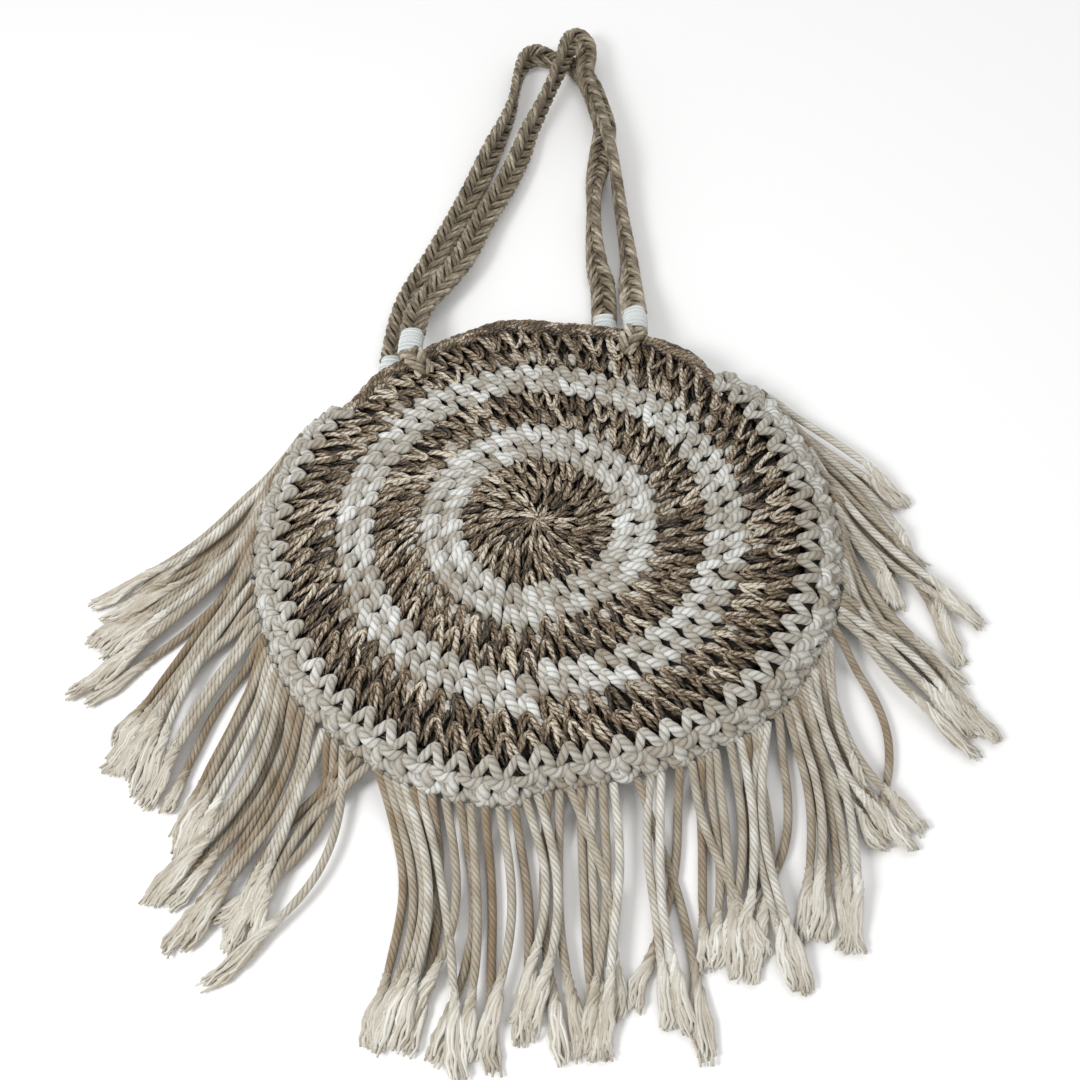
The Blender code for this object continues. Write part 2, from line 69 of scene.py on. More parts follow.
soft_light("window_light", (-0.95, -0.75, 1.15), (0.0, 0.0, 0.0), 0.55, 15.0)
soft_light("room_light", (0.6, 0.9, 1.8), (0.0, 0.1, 0.0), 1.6, 6.0)

world = bpy.data.worlds.new("room")
world.use_nodes = True
daylight = world.node_tree.nodes["Background"]
daylight.inputs["Color"].default_value = (1.0, 1.0, 1.0, 1.0)
daylight.inputs["Strength"].default_value = 0.66
bpy.context.scene.world = world
bpy.context.scene.view_settings.view_transform = "Standard"

TABLE_DROP = 0.0004
table_mesh = bpy.data.meshes.new("table_top")
table_mesh.from_pydata([(-4, -4, 0), (4, -4, 0), (4, 4, 0), (-4, 4, 0)], [], [(0, 1, 2, 3)])
table_top = bpy.data.objects.new("table_top", table_mesh)
table_top.location = (0.0, 0.0, -TABLE_DROP)
bpy.context.scene.collection.objects.link(table_top)
table_finish = bpy.data.materials.new("table_top")
table_finish.use_nodes = True
table_shader = table_finish.node_tree.nodes["Principled BSDF"]
table_shader.inputs["Base Color"].default_value = (0.98, 0.98, 0.978, 1.0)
table_shader.inputs["Roughness"].default_value = 0.7
table_mesh.materials.append(table_finish)


# Cotton rope and straw twine: plies twisted together, with a groove between them and fine loose fibres.
# Every strand carries its twist in its UV map (turns along it, share of the way round) and a tone, which
# holds its own colour together with the painted light and shade laid on it.
def fill(tree, node, inputs):
    """Sets a node's inputs to numbers and colours, or links them to sockets."""
    for key, value in inputs.items():
        if isinstance(value, bpy.types.NodeSocket):
            tree.links.new(value, node.inputs[key])
        else:
            node.inputs[key].default_value = value


def add_node(tree, kind, inputs=None, **settings):
    made = tree.nodes.new(kind)
    for key, value in settings.items():
        setattr(made, key, value)
    fill(tree, made, inputs or {})
    return made


def number(tree, operation, *operands):
    """The output of a Math node; its operands are numbers or sockets."""
    return add_node(tree, "ShaderNodeMath", dict(enumerate(operands)), operation=operation).outputs[0]


def noise(tree, **inputs):
    return add_node(tree, "ShaderNodeTexNoise", inputs).outputs[0]


def twisted_plies():
    """The group for a twisted strand: its height, the groove between its plies and its fibres."""
    tree = bpy.data.node_groups.new("twisted_plies", "ShaderNodeTree")
    for way, kind, names in (
        ("INPUT", "NodeSocketVector", ("Twist", "Place")),
        ("INPUT", "NodeSocketFloat", ("Plies", "Fibre Scale")),
        ("OUTPUT", "NodeSocketFloat", ("Height", "Groove", "Fibre", "Ply")),
    ):
        for name in names:
            tree.interface.new_socket(name, in_out=way, socket_type=kind)
    given = add_node(tree, "NodeGroupInput").outputs
    twist = add_node(tree, "ShaderNodeSeparateXYZ", {0: given["Twist"]}).outputs
    turns = number(tree, "ADD", number(tree, "MULTIPLY", twist["Y"], given["Plies"]), twist["X"])
    ridge = number(tree, "ABSOLUTE", number(tree, "SINE", number(tree, "MULTIPLY", turns, math.pi)))
    rounded = number(tree, "POWER", ridge, 0.55)
    which = number(tree, "DIVIDE", number(tree, "FLOOR", turns), given["Plies"])
    stretched = {0: number(tree, "MULTIPLY", twist["X"], 1.6), 1: number(tree, "MULTIPLY", turns, 7.0)}
    along = add_node(tree, "ShaderNodeCombineXYZ", stretched).outputs[0]
    streaks = noise(tree, Vector=along, Scale=1.0, Detail=3.0)
    fuzz = noise(tree, Vector=given["Place"], Scale=given["Fibre Scale"], Detail=2.0)
    fibre = number(tree, "ADD", number(tree, "MULTIPLY", streaks, 0.6), number(tree, "MULTIPLY", fuzz, 0.4))
    add_node(tree, "NodeGroupOutput", {
        "Height": number(tree, "ADD", rounded, number(tree, "MULTIPLY", fibre, 0.35)),
        "Groove": number(tree, "SUBTRACT", 1.0, rounded),
        "Fibre": fibre,
        "Ply": number(tree, "SINE", number(tree, "MULTIPLY", which, 2.0 * math.pi)),
    })
    return tree


PLIES = twisted_plies()


def yarn_finish(name, dark, middle, pale, roughness, plies, bump, specular, streaky, groove_shade,
                fibre_scale=900.0, sheen=0.0):
    """A yarn whose colour runs from dark to pale on its brightest strands, with painted shade in the grooves
    between its plies. `bump` is in metres; `streaky` is how far the fibres change the tone and `groove_shade`
    how far the painted shade in the grooves darkens it."""
    made = bpy.data.materials.new(name)
    made.use_nodes = True
    tree = made.node_tree
    place = add_node(tree, "ShaderNodeTexCoord").outputs["Object"]
    uv = add_node(tree, "ShaderNodeUVMap", uv_map="UVMap").outputs[0]
    strand = {"Twist": uv, "Place": place, "Plies": plies, "Fibre Scale": fibre_scale}
    twist = add_node(tree, "ShaderNodeGroup", strand, node_tree=PLIES).outputs
    # The tone attribute holds each strand's own tone together with painted light and shade.
    tone = add_node(tree, "ShaderNodeAttribute", attribute_name="tone").outputs["Fac"]
    patches = noise(tree, Vector=place, Scale=70.0, Detail=3.0)
    patch = number(tree, "MULTIPLY", number(tree, "SUBTRACT", patches, 0.5), 0.6)
    streak = number(tree, "MULTIPLY", number(tree, "SUBTRACT", twist["Fibre"], 0.5), streaky)
    level = number(tree, "ADD", number(tree, "ADD", tone, patch), streak)
    level = number(tree, "ADD", level, number(tree, "MULTIPLY", twist["Ply"], streaky * 0.09))
    # Painted shade: the grooves between the plies are darkened in the colour.
    level = number(tree, "SUBTRACT", level, number(tree, "MULTIPLY", twist["Groove"], groove_shade))
    ramp = add_node(tree, "ShaderNodeValToRGB", {0: level})
    ramp.color_ramp.elements[0].color = (*dark, 1.0)
    ramp.color_ramp.elements[1].color = (*pale, 1.0)
    ramp.color_ramp.elements.new(0.5).color = (*middle, 1.0)
    relief = add_node(tree, "ShaderNodeBump", {"Strength": 1.0, "Distance": bump, "Height": twist["Height"]})
    fill(tree, tree.nodes["Principled BSDF"], {
        "Base Color": ramp.outputs[0],
        "Roughness": roughness,
        "Normal": relief.outputs[0],
        "Sheen Weight": sheen,
        "Sheen Roughness": 0.6,
        "Specular IOR Level": specular,
    })
    return made


COTTON = yarn_finish("cotton_rope", dark=(0.23, 0.175, 0.115), middle=(0.42, 0.40, 0.35),
                     pale=(0.78, 0.795, 0.775), roughness=0.9, plies=3.0,
                     bump=0.0006, sheen=0.2, specular=0.25, streaky=0.9, groove_shade=0.36)
# The straw's darkest stop is nearly black: the dark end of its own tone, and the painted shade of the cores
# and deepest twines that reach it.
STRAW = yarn_finish("straw_twine", dark=(0.010, 0.006, 0.003), middle=(0.185, 0.125, 0.066),
                    pale=(0.68, 0.61, 0.50), roughness=0.45, plies=2.0, fibre_scale=1100.0,
                    bump=0.0006, specular=0.6, streaky=2.4, groove_shade=0.44)
UP = (0.0, 0.0, 1.0)
TINY = 1e-12


def unit(vectors):
    return vectors / np.linalg.norm(vectors, axis=-1, keepdims=True)


def vary(spread, count):
    """A column of random amounts, one for each strand."""
    return chance.normal(0.0, spread, (count, 1))


def strands(paths, width, height, up, sides, ply, tone, finish=0, lobes=0, depth=0.2):
    """Closed strands of one kind: paths (strand, point, xyz), widths and heights, and the way their tops
    face. `ply` is the length of one ridge of the twist, `tone` a number, one for each strand or one for
    each point, and `finish` the piece's material. With `lobes` the plies bulge out of the section."""
    paths = np.asarray(paths, float)
    count, points = paths.shape[:2]
    width = np.broadcast_to(np.asarray(width, float), (count, points))
    height = np.broadcast_to(np.asarray(height, float), (count, points))
    tone = np.asarray(tone, float)
    tone = np.broadcast_to(tone[:, None] if tone.ndim == 1 else tone, (count, points))
    up = np.broadcast_to(np.asarray(up, float), paths.shape)
    along = np.gradient(paths, axis=1)
    along /= np.linalg.norm(along, axis=2, keepdims=True) + TINY
    side = np.cross(along, up)
    side /= np.linalg.norm(side, axis=2, keepdims=True) + TINY
    top = np.cross(side, along)
    steps = np.linalg.norm(np.diff(paths, axis=1), axis=2)
    ridges = -np.concatenate([np.zeros((count, 1)), np.cumsum(steps, axis=1)], axis=1) / ply
    turn = 2.0 * math.pi * np.arange(sides) / sides
    bulge = 1.0
    if lobes:
        wave = np.abs(np.sin(math.pi * (lobes * turn / (2.0 * math.pi) + ridges[:, :, None])))
        bulge = (1.0 - depth) + 1.5 * depth * wave**0.8
    corners = (
        paths[:, :, None, :]
        + side[:, :, None, :] * (width[:, :, None] / 2.0 * np.cos(turn) * bulge)[..., None]
        + top[:, :, None, :] * (height[:, :, None] / 2.0 * np.sin(turn) * bulge)[..., None]
    )
    index = np.arange(count * points * sides).reshape(count, points, sides)
    nxt = np.roll(index, -1, axis=2)
    quads = np.stack([index[:, :-1], index[:, 1:], nxt[:, 1:], nxt[:, :-1]], axis=-1).reshape(-1, 4)
    u = np.broadcast_to(ridges[:, :, None], index.shape)
    v = np.broadcast_to(np.arange(sides) / sides, index.shape)
    near, far = v, v + 1.0 / sides
    quad_uv = np.stack(
        [
            np.stack([u[:, :-1], near[:, :-1]], -1),
            np.stack([u[:, 1:], near[:, 1:]], -1),
            np.stack([u[:, 1:], far[:, 1:]], -1),
            np.stack([u[:, :-1], far[:, :-1]], -1),
        ],
        axis=-2,
    ).reshape(-1, 4, 2)
    ends = np.concatenate([index[:, 0, :], index[:, -1, ::-1]])
    first_uv = np.stack([u[:, 0], v[:, 0]], -1)
    last_uv = np.stack([u[:, -1, ::-1], v[:, -1, ::-1]], -1)
    return {
        "corners": corners.reshape(-1, 3),
        "tone": np.repeat(tone.reshape(-1), sides),
        "faces": [(quads, quad_uv), (ends, np.concatenate([first_uv, last_uv]))],
        "finish": finish,
    }


def body_of_rings(rings, tone, uv_scale, finish=0, inside_out=False):
    """A closed body through rings (ring, point, xyz), with a cap on its first and its last ring."""
    loop = np.arange(rings.shape[0] * rings.shape[1]).reshape(rings.shape[:2])
    nxt = np.roll(loop, -1, axis=1)
    quads = np.stack([loop[:-1], loop[1:], nxt[1:], nxt[:-1]], axis=-1).reshape(-1, 4)
    caps = np.stack([loop[0], loop[-1][::-1]])
    if inside_out:
        quads = quads[:, [0, 3, 2, 1]]
        caps = caps[:, ::-1]
    corners = rings.reshape(-1, 3)
    return {
        "corners": corners,
        "tone": np.full(len(corners), tone),
        "faces": [(faces, corners[faces][..., :2] / uv_scale) for faces in (quads, caps)],
        "finish": finish,
    }


def make_piece(name, parts, finishes, nodes=()):
    """One object out of strands and bodies; it stands for the CAD nodes and rides on the bag."""
    corners, tones, loops, uvs, starts, kinds = [], [], [], [], [], []
    before = loop_count = 0
    for part in parts:
        for faces, uv in part["faces"]:
            loops.append((faces + before).reshape(-1))
            uvs.append(uv.reshape(-1, 2))
            starts.append(loop_count + np.arange(len(faces)) * faces.shape[1])
            kinds.append(np.full(len(faces), part["finish"]))
            loop_count += faces.size
        corners.append(part["corners"])
        tones.append(part["tone"])
        before += len(part["corners"])
    mesh = bpy.data.meshes.new(name)
    mesh.vertices.add(before)
    mesh.vertices.foreach_set("co", np.concatenate(corners).astype(np.float32).reshape(-1))
    mesh.loops.add(loop_count)
    mesh.loops.foreach_set("vertex_index", np.concatenate(loops).astype(np.int32))
    starts = np.concatenate(starts).astype(np.int32)
    mesh.polygons.add(len(starts))
    mesh.polygons.foreach_set("loop_start", starts)
    mesh.polygons.foreach_set("material_index", np.concatenate(kinds).astype(np.int32))
    mesh.update(calc_edges=True)
    uv_map = mesh.uv_layers.new(name="UVMap")
    uv_map.data.foreach_set("uv", np.concatenate(uvs).astype(np.float32).reshape(-1))
    tone_of_points = mesh.attributes.new("tone", "FLOAT", "POINT")
    tone_of_points.data.foreach_set("value", np.concatenate(tones).astype(np.float32))
    mesh.validate()
    mesh.shade_smooth()
    for finish in finishes:
        mesh.materials.append(finish)
    piece = bpy.data.objects.new(name, mesh)
    bpy.context.scene.collection.objects.link(piece)
    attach(piece, "root")
    if nodes:
        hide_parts(*nodes)


# The two panels: rounds of tall stitches worked outwards, four in the middle and two to each stripe.
# Each stitch is an arch of yarn whose feet tuck under the next round: one thick cotton rope, or straw twines.
ROUND_WIDTH = 0.0125
FABRIC = 0.008
HOLLOW = 0.014
DOME = 0.004
SEAM_ANGLE = 270.0
SMALLEST_RADIUS = 0.004
MIDDLE_HOLE = 0.0012
# Stripes from the middle outwards: name, yarn, rounds, jog of the outer border at the seam, rows of stitches
STRIPES = (
    ("centre", "straw", 3.72, 0.4, 4),
    ("white_inner", "cotton", 2.12, 0.65, 2),
    ("straw_middle", "straw", 2.28, 0.95, 2),
    ("white_outer", "cotton", 1.88, 0.95, 2),
    ("straw_outer", "straw", 2.08, 0.0, 2),
)
PANEL_RADIUS = ROUND_WIDTH * sum(stripe[2] for stripe in STRIPES)
# How far the stripes and the panel's edge differ from a circle: angle, share of the radius
STRIPE_SHAPE = (
    (270, 1.02), (290, 1.03), (320, 1.06), (380, 1.065), (450, 1.05),
    (480, 1.00), (505, 0.965), (545, 0.96), (590, 0.98), (630, 1.01),
)
EDGE_SHAPE = (
    (272, 1.00), (300, 1.02), (318, 1.045), (345, 1.06), (390, 1.066),
    (404, 1.07), (414, 1.11), (430, 1.09), (442, 1.07), (458, 1.088),
    (470, 1.045), (481, 1.018), (489, 1.022), (501, 0.98), (512, 1.00),
    (550, 1.007), (585, 1.04), (615, 1.06), (624, 1.06), (632, 1.00),
)
# How far the stitches lean as they go outwards: angle, share of their height
LEAN = (
    (270, 0.12), (310, 0.10), (350, 0.28), (400, 0.42), (450, 0.22),
    (490, 0.20), (540, 0.42), (575, 0.45), (610, 0.25), (630, 0.12),
)


def eased(table, at):
    """The value between the rows (place, value) of a table, eased between them."""
    places, values = np.array(table, float).T
    at = np.clip(at, places[0], places[-1])
    row = np.clip(np.searchsorted(places, at) - 1, 0, len(places) - 2)
    share = (at - places[row]) / (places[row + 1] - places[row])
    return values[row] + (values[row + 1] - values[row]) * share * share * (3.0 - 2.0 * share)


def round_the_bag(table, degrees):
    start = table[0][0]
    return eased(table, (np.asarray(degrees, float) - start) % 360.0 + start)


def panel_edge(degrees):
    return PANEL_RADIUS * round_the_bag(EDGE_SHAPE, degrees)


def stripe_border(number_of_rounds, jog, degrees):
    turned = (np.asarray(degrees, float) - SEAM_ANGLE) % 360.0
    rounds_here = number_of_rounds + jog * (turned / 360.0 - 0.5)
    return ROUND_WIDTH * rounds_here * eased(STRIPE_SHAPE, turned + SEAM_ANGLE)


def panel_top(radius):
    """The outer face of the front panel, which stands up a little in the middle."""
    share = np.minimum(radius / PANEL_RADIUS, 1.0)
    return 2.0 * FABRIC + HOLLOW + DOME * (1.0 - share * share)


def smooth_rows(rows, count):
    """Rows of numbers read at `count` even places of a smooth curve through them."""
    rows = np.asarray(rows, float)
    padded = np.vstack((2.0 * rows[0] - rows[1], rows, 2.0 * rows[-1] - rows[-2]))
    at = np.linspace(0.0, len(rows) - 1.0, count)
    row = np.minimum(at.astype(int), len(rows) - 2)
    t = (at - row)[:, None]
    before, near, far, after = (padded[row + k] for k in range(4))
    return 0.5 * (2.0 * near + (far - before) * t + (2.0 * before - 5.0 * near + 4.0 * far - after) * t * t
                  + (3.0 * near - before - 3.0 * far + after) * t * t * t)


def around(radius, degrees, height):
    """Points at a distance, an angle and a height from the origin."""
    turn = np.radians(degrees)
    height = np.broadcast_to(height, radius.shape)
    return np.stack([radius * np.cos(turn), radius * np.sin(turn), height], axis=-1)


# An arch from its left foot over its head to its right foot: across (share of the stitch), outwards (share of
# the round), height (share of the yarn), thickness (share), painted shade and light (darker at the tucked
# feet and the low left leg, paler on the raised right leg)
ARCH = (
    (-0.44, 1.18, -0.85, 0.42, -0.15),
    (-0.38, 0.96, -0.42, 0.80, -0.10),
    (-0.31, 0.68, -0.12, 1.02, -0.06),
    (-0.24, 0.40, 0.00, 1.03, -0.03),
    (-0.15, 0.15, 0.02, 0.95, 0.0),
    (-0.01, 0.02, 0.00, 0.88, 0.0),
    (0.12, 0.15, 0.14, 0.97, 0.04),
    (0.22, 0.42, 0.22, 1.05, 0.08),
    (0.33, 0.72, 0.12, 1.05, 0.06),
    (0.43, 1.02, -0.24, 0.84, -0.05),
    (0.50, 1.28, -0.85, 0.42, -0.12),
)
# The strands of a stitch: offset inside the arch, extra depth (m), tone (the deeper twines are darker as
# painted shade)
ONE_ROPE = ((0.0, 0.0, 0.0),)
TWINES = (
    (-0.42, 0.0003, 0.02),
    (0.10, -0.0004, 0.10),
    (0.55, 0.0016, -0.16),
    (0.0, 0.0034, -0.42),
)
# A strand as deep as this lies between two stitches and under them
UNDER = 0.003
# Distance from the middle, and the width of a stitch there (m)
PITCHES = (
    (0.01, 0.06, 0.09, 0.115, 0.15),
    (0.0072, 0.0100, 0.0113, 0.0118, 0.0136),
)
COTTON_WIDTH = 0.0059
TWINE_WIDTH = 0.0027
COTTON_PLY = 0.0042
TWINE_PLY = 0.0048
ARCH_HEIGHT = 0.0045
PANEL_FACE = 0.0006
FRONT_POINTS = 18
BACK_POINTS = 11


def row_of_stitches(inner, outer, yarn, front, first_row):
    """The stitches of one round between two borders (functions of the angle)."""
    sample = np.arange(270.0, 630.0, 30.0)
    middle = float(np.mean((inner(sample) + outer(sample)) / 2.0))
    pitch = np.interp(middle, *PITCHES)
    count = max(7, round(2.0 * math.pi * middle / pitch))
    step = 360.0 / count
    place = SEAM_ANGLE + 0.3 + step * (np.arange(count) + 0.5) + chance.normal(0.0, 0.06 * step, count)
    border_in, border_out = inner(place)[:, None], outer(place)[:, None]
    arch = smooth_rows(ARCH, FRONT_POINTS if front else BACK_POINTS)
    arch_across, arch_out, arch_height, arch_thickness, arch_light_and_shade = arch.T[:, None]
    cotton = yarn == "cotton"
    parts = []
    for offset, deeper, toned in ONE_ROPE if cotton else TWINES[: 4 if front else 2]:
        under = deeper > UNDER
        shift = 0.5 * step if under else 0.0
        thick = (COTTON_WIDTH if cotton else min(TWINE_WIDTH, pitch * 0.27)) * (1.0 + vary(0.07, count))
        size = 1.0 + vary(0.06, count)
        across = arch_across * size * (1.0 if cotton else 1.0 - 0.55 * offset)
        outwards = arch_out * (1.0 + vary(0.05, count))
        outwards = outwards + vary(0.03, count)
        if not cotton:
            outwards = outwards + offset * 0.26 * (1.0 - outwards)
            wild = vary(0.10, count) * outwards + vary(0.05, count)
            across = across + wild + 0.05 * np.sin(arch_out * 5.0 + chance.uniform(0.0, 6.0, (count, 1)))
        lean = eased(LEAN, place)[:, None] * min(1.0, middle / 0.075)
        lean = lean + vary(0.05 if cotton else 0.11, count)
        radius = border_in + (border_out - border_in) * outwards
        safe_radius = radius.clip(SMALLEST_RADIUS)
        arc = across * np.radians(step) * border_in.clip(1.5 * SMALLEST_RADIUS) ** 0.5 * safe_radius**0.5
        arc = arc + lean * (border_out - border_in) * (outwards - 0.2)
        degrees = place[:, None] + shift + np.degrees(arc / safe_radius)
        height = arch_height * ARCH_HEIGHT + vary(0.0003, count) - deeper
        if not cotton:
            height = height + vary(0.0005, count)
        wide = arch_thickness * thick
        tall = wide * 0.84
        depth = (PANEL_FACE - height + tall / 2.0).clip(0.0004 + tall / 2.0)
        level = panel_top(radius) - depth if front else depth
        points, top = around(radius, degrees, level), (0.0, 0.0, 1.0 if front else -1.0)
        # Painted light and shade: the arch's last column makes the tucked feet and the low left leg darker
        # and the raised right leg paler, and deeper twines are darker from their tone in TWINES.
        if cotton:
            tone = 0.56 + toned + vary(0.13, count) + arch_light_and_shade * 1.6
            parts.append(strands(points, wide, tall, top, 10 if front else 7, COTTON_PLY, tone,
                                 lobes=3 if front else 0, depth=0.11))
        else:
            tone = 0.47 + toned + vary(0.20, count) + arch_light_and_shade * 1.8
            parts.append(strands(points, wide, tall, top, 4 if under else 6, TWINE_PLY, tone,
                                 lobes=2 if front and not under else 0, depth=0.3))
    if first_row:
        parts.append(peeking_loops(inner, outer, place, step, front))
    return parts


# The white loops between the first straw stitches: their thickness from end to end
LOOP_THICKNESS = (0.3, 0.8, 1.0, 1.05, 1.0, 0.8, 0.3)
PEEKING_SHARE = 0.85
PEEKING_WIDTH = 0.0054
PEEKING_DEPTH = 0.0040


def peeking_loops(inner, outer, place, step, front):
    """White loops of the last cotton round, which show in the gaps of the first straw round after it."""
    place = place[chance.uniform(0.0, 1.0, len(place)) < PEEKING_SHARE]
    count = len(place)
    t = np.linspace(-1.0, 1.0, len(LOOP_THICKNESS))[None, :]
    border_in, border_out = inner(place)[:, None], outer(place)[:, None]
    share = 0.46 + 0.28 * t + vary(0.07, count)
    radius = border_in * (1.0 - share) + border_out * share
    drift = np.degrees(eased(LEAN, place)[:, None] * (border_out - border_in) * (share - 0.2) / radius)
    degrees = place[:, None] + step * (0.5 + 0.10 * t) + drift
    wide = PEEKING_WIDTH * np.array(LOOP_THICKNESS)[None, :]
    wide = wide * (1.0 + vary(0.18, count))
    depth = PEEKING_DEPTH + chance.uniform(0.0, 0.0014, (count, 1))
    depth = depth - 0.0012 * np.sin(np.linspace(0.0, math.pi, len(LOOP_THICKNESS)))[None, :]
    level = panel_top(radius) - depth if front else depth + 0.0012
    tone = 0.62 + chance.normal(0.0, 0.1, count)
    return strands(around(radius, degrees, level), wide, wide * 0.9, UP, 8, 0.0050, tone, finish=1)


FRONT_SHEET_DEPTH = 0.0062
BACK_SHEET_DEPTH = 0.0052
SHEET_PLY = 0.0026


def ground(front):
    """The dense inner side of a panel between its stitches, coloured nearly black with the lowest straw tone
    as painted shade.
    """
    degrees = np.linspace(0.0, 360.0, 145)[:-1]
    shares = np.linspace(0.02, 1.0, 20)
    radius = panel_edge(degrees)[None, :] * shares[:, None] + MIDDLE_HOLE * shares[:, None]
    ripple = 0.0004 * np.sin(np.radians(degrees)[None, :] * 66.0 + 9.0 * shares[:, None])
    turned = np.broadcast_to(degrees, radius.shape)
    if front:
        upper, lower = panel_top(radius) - FRONT_SHEET_DEPTH + ripple, panel_top(radius) - FABRIC
    else:
        upper, lower = np.full(radius.shape, FABRIC), BACK_SHEET_DEPTH - ripple
    rings = np.concatenate([around(radius, turned, upper), around(radius[::-1], turned, lower[::-1])])
    # Tone 0 gives the straw's darkest colour: painted shade.
    return body_of_rings(rings, 0.0, SHEET_PLY)


def plain_border(number_of_rounds, jog):
    return lambda degrees: stripe_border(number_of_rounds, jog, degrees)


def between(inner, outer, share):
    return lambda degrees: inner(degrees) * (1.0 - share) + outer(degrees) * share


def middle_hole(degrees):
    return np.full(np.shape(degrees), MIDDLE_HOLE)


for side in ("front", "back"):
    make_piece(side + "_painted_shade_ground", [ground(side == "front")], [STRAW])
    total = 0.0
    inner = middle_hole
    for name, yarn, rounds, jog, rows in STRIPES:
        total += rounds
        outer = panel_edge if name == "straw_outer" else plain_border(total, jog)
        parts = []
        for row in range(rows):
            near, far = between(inner, outer, row / rows), between(inner, outer, (row + 1) / rows)
            after_white = yarn == "straw" and name != "centre" and row == 0
            parts += row_of_stitches(near, far, yarn, side == "front", after_white)
        finishes = [STRAW, COTTON] if yarn == "straw" else [COTTON]
        make_piece(side + "_" + name + "_stitches", parts, finishes, nodes=(side + "_" + name,))
        inner = outer


# The white edging: a row of tall stitches out of the panel's last round, then lines of chain, all in cotton.
# It wraps round from the front panel to the back one, and is deeper on the right, where it has one line more.
MOUTH_START = 44.0
MOUTH_END = 141.0
GAP = 0.0003
FLOOR_GAP = 0.0002
EDGE_DEPTH = 0.018
EDGE_MIDDLE = FABRIC + HOLLOW / 2.0
# How deep the edging is round the bag: angle, share of EDGE_DEPTH
EDGE_ROWS = (
    (285, 0.85), (300, 1.00), (325, 1.35), (375, 1.35), (395, 1.50),
    (404, 1.25), (501, 1.00), (615, 1.00), (645, 0.85),
)


def edging_face(degrees):
    return panel_edge(degrees) + GAP + EDGE_DEPTH * round_the_bag(EDGE_ROWS, degrees)


def on_edging(degrees, turn, proud):
    """A point of the edging's rounded section, `turn` degrees up from its outer side, sunk by -proud."""
    border = panel_edge(degrees) + GAP
    depth = edging_face(degrees) - border
    turn = np.radians(turn)
    out = unit(np.stack(np.broadcast_arrays(np.cos(turn) / depth, np.sin(turn) / EDGE_MIDDLE), -1))
    radius = border + depth * np.cos(turn) + out[..., 0] * proud
    level = EDGE_MIDDLE + EDGE_MIDDLE * np.sin(turn) + out[..., 1] * proud
    face = np.radians(degrees)
    sideways, upwards = out[..., 0], out[..., 1]
    normal = np.stack(np.broadcast_arrays(sideways * np.cos(face), sideways * np.sin(face), upwards), -1)
    return around(radius, np.broadcast_to(degrees, radius.shape), level), normal


# Stitches of the edging: one every 15 mm or so. Their legs, bars and knots lie one outside the other.
EDGE_STEP = 5.27
FIRST_STITCH = MOUTH_END + 0.6
STITCHES = 50
DEEP = 1.15


def edging_rope(rows, width, tone_mean, upside, shift=0.0, stitches=(0, STITCHES), only_deep=False,
                depth=0.11):
    """One rope in each stitch. Rows: along the edge (share of a stitch), up the section (degrees), proud (m),
    thickness (share). `upside` is 1 for the front and -1 for the back."""
    place = FIRST_STITCH + EDGE_STEP * (np.arange(*stitches) + 0.5 + shift)
    if only_deep:
        place = place[round_the_bag(EDGE_ROWS, place) > DEEP]
    count = len(place)
    place = place + chance.normal(0.0, 0.12, count)
    front = upside > 0.0
    rows = smooth_rows(rows, FRONT_POINTS if front else BACK_POINTS)[None]
    deep = round_the_bag(EDGE_ROWS, place)[:, None]
    lean = 0.5 * eased(LEAN, (place - 270.0) % 360.0 + 270.0)[:, None] * (90.0 - rows[..., 1]) / 45.0
    size = 1.0 + vary(0.06, count)
    along = rows[..., 0] * size + lean * 0.5 + vary(0.03, count)
    turn = rows[..., 1] + vary(1.6, count)
    turn = turn + (1.0 - 1.0 / deep) * 16.0 * np.sin(np.radians(2.0 * turn.clip(0.0, 90.0)))
    wide = width * rows[..., 3] * (1.0 + vary(0.06, count))
    path, normal = on_edging(place[:, None] + EDGE_STEP * along, turn * upside, rows[..., 2] - wide * 0.34)
    path[..., 2] = np.maximum(path[..., 2], wide * 0.5 + FLOOR_GAP)
    tone = tone_mean + vary(0.10, count)
    return strands(path, wide, wide * 0.86, normal, 11 if front else 7, COTTON_PLY, tone,
                   lobes=3 if front else 0, depth=depth)


# Along, up, proud and thickness of each rope
EDGE_LEGS = (
    (-0.50, 42, -0.0030, 0.45),
    (-0.42, 50, -0.0012, 0.85),
    (-0.30, 62, 0.0000, 1.02),
    (-0.17, 74, 0.0003, 1.02),
    (-0.06, 85, 0.0002, 0.95),
    (0.03, 90, 0.0002, 0.92),
    (0.12, 84, 0.0006, 0.98),
    (0.22, 72, 0.0010, 1.05),
    (0.34, 59, 0.0006, 1.05),
    (0.45, 49, -0.0010, 0.88),
    (0.52, 41, -0.0030, 0.45),
)
EDGE_BAR = (
    (-0.50, 45, -0.0034, 0.50),
    (-0.42, 44, -0.0008, 0.90),
    (-0.22, 39, 0.0012, 1.05),
    (0.00, 35, 0.0016, 1.08),
    (0.22, 38, 0.0012, 1.05),
    (0.42, 43, -0.0008, 0.90),
    (0.50, 45, -0.0034, 0.50),
)
EDGE_SECOND_BAR = (
    (-0.52, 33, -0.0030, 0.50),
    (-0.40, 31, 0.0000, 0.95),
    (-0.18, 25, 0.0013, 1.08),
    (0.05, 22, 0.0016, 1.05),
    (0.30, 28, 0.0008, 0.98),
    (0.46, 32, -0.0030, 0.50),
)
KNOT_KNOB = (
    (0.02, 40, -0.0030, 0.55),
    (0.01, 36, 0.0002, 0.92),
    (-0.01, 29, 0.0020, 1.05),
    (0.00, 19, 0.0030, 1.04),
    (0.01, 8, 0.0022, 0.92),
    (0.01, -2, -0.0010, 0.60),
)
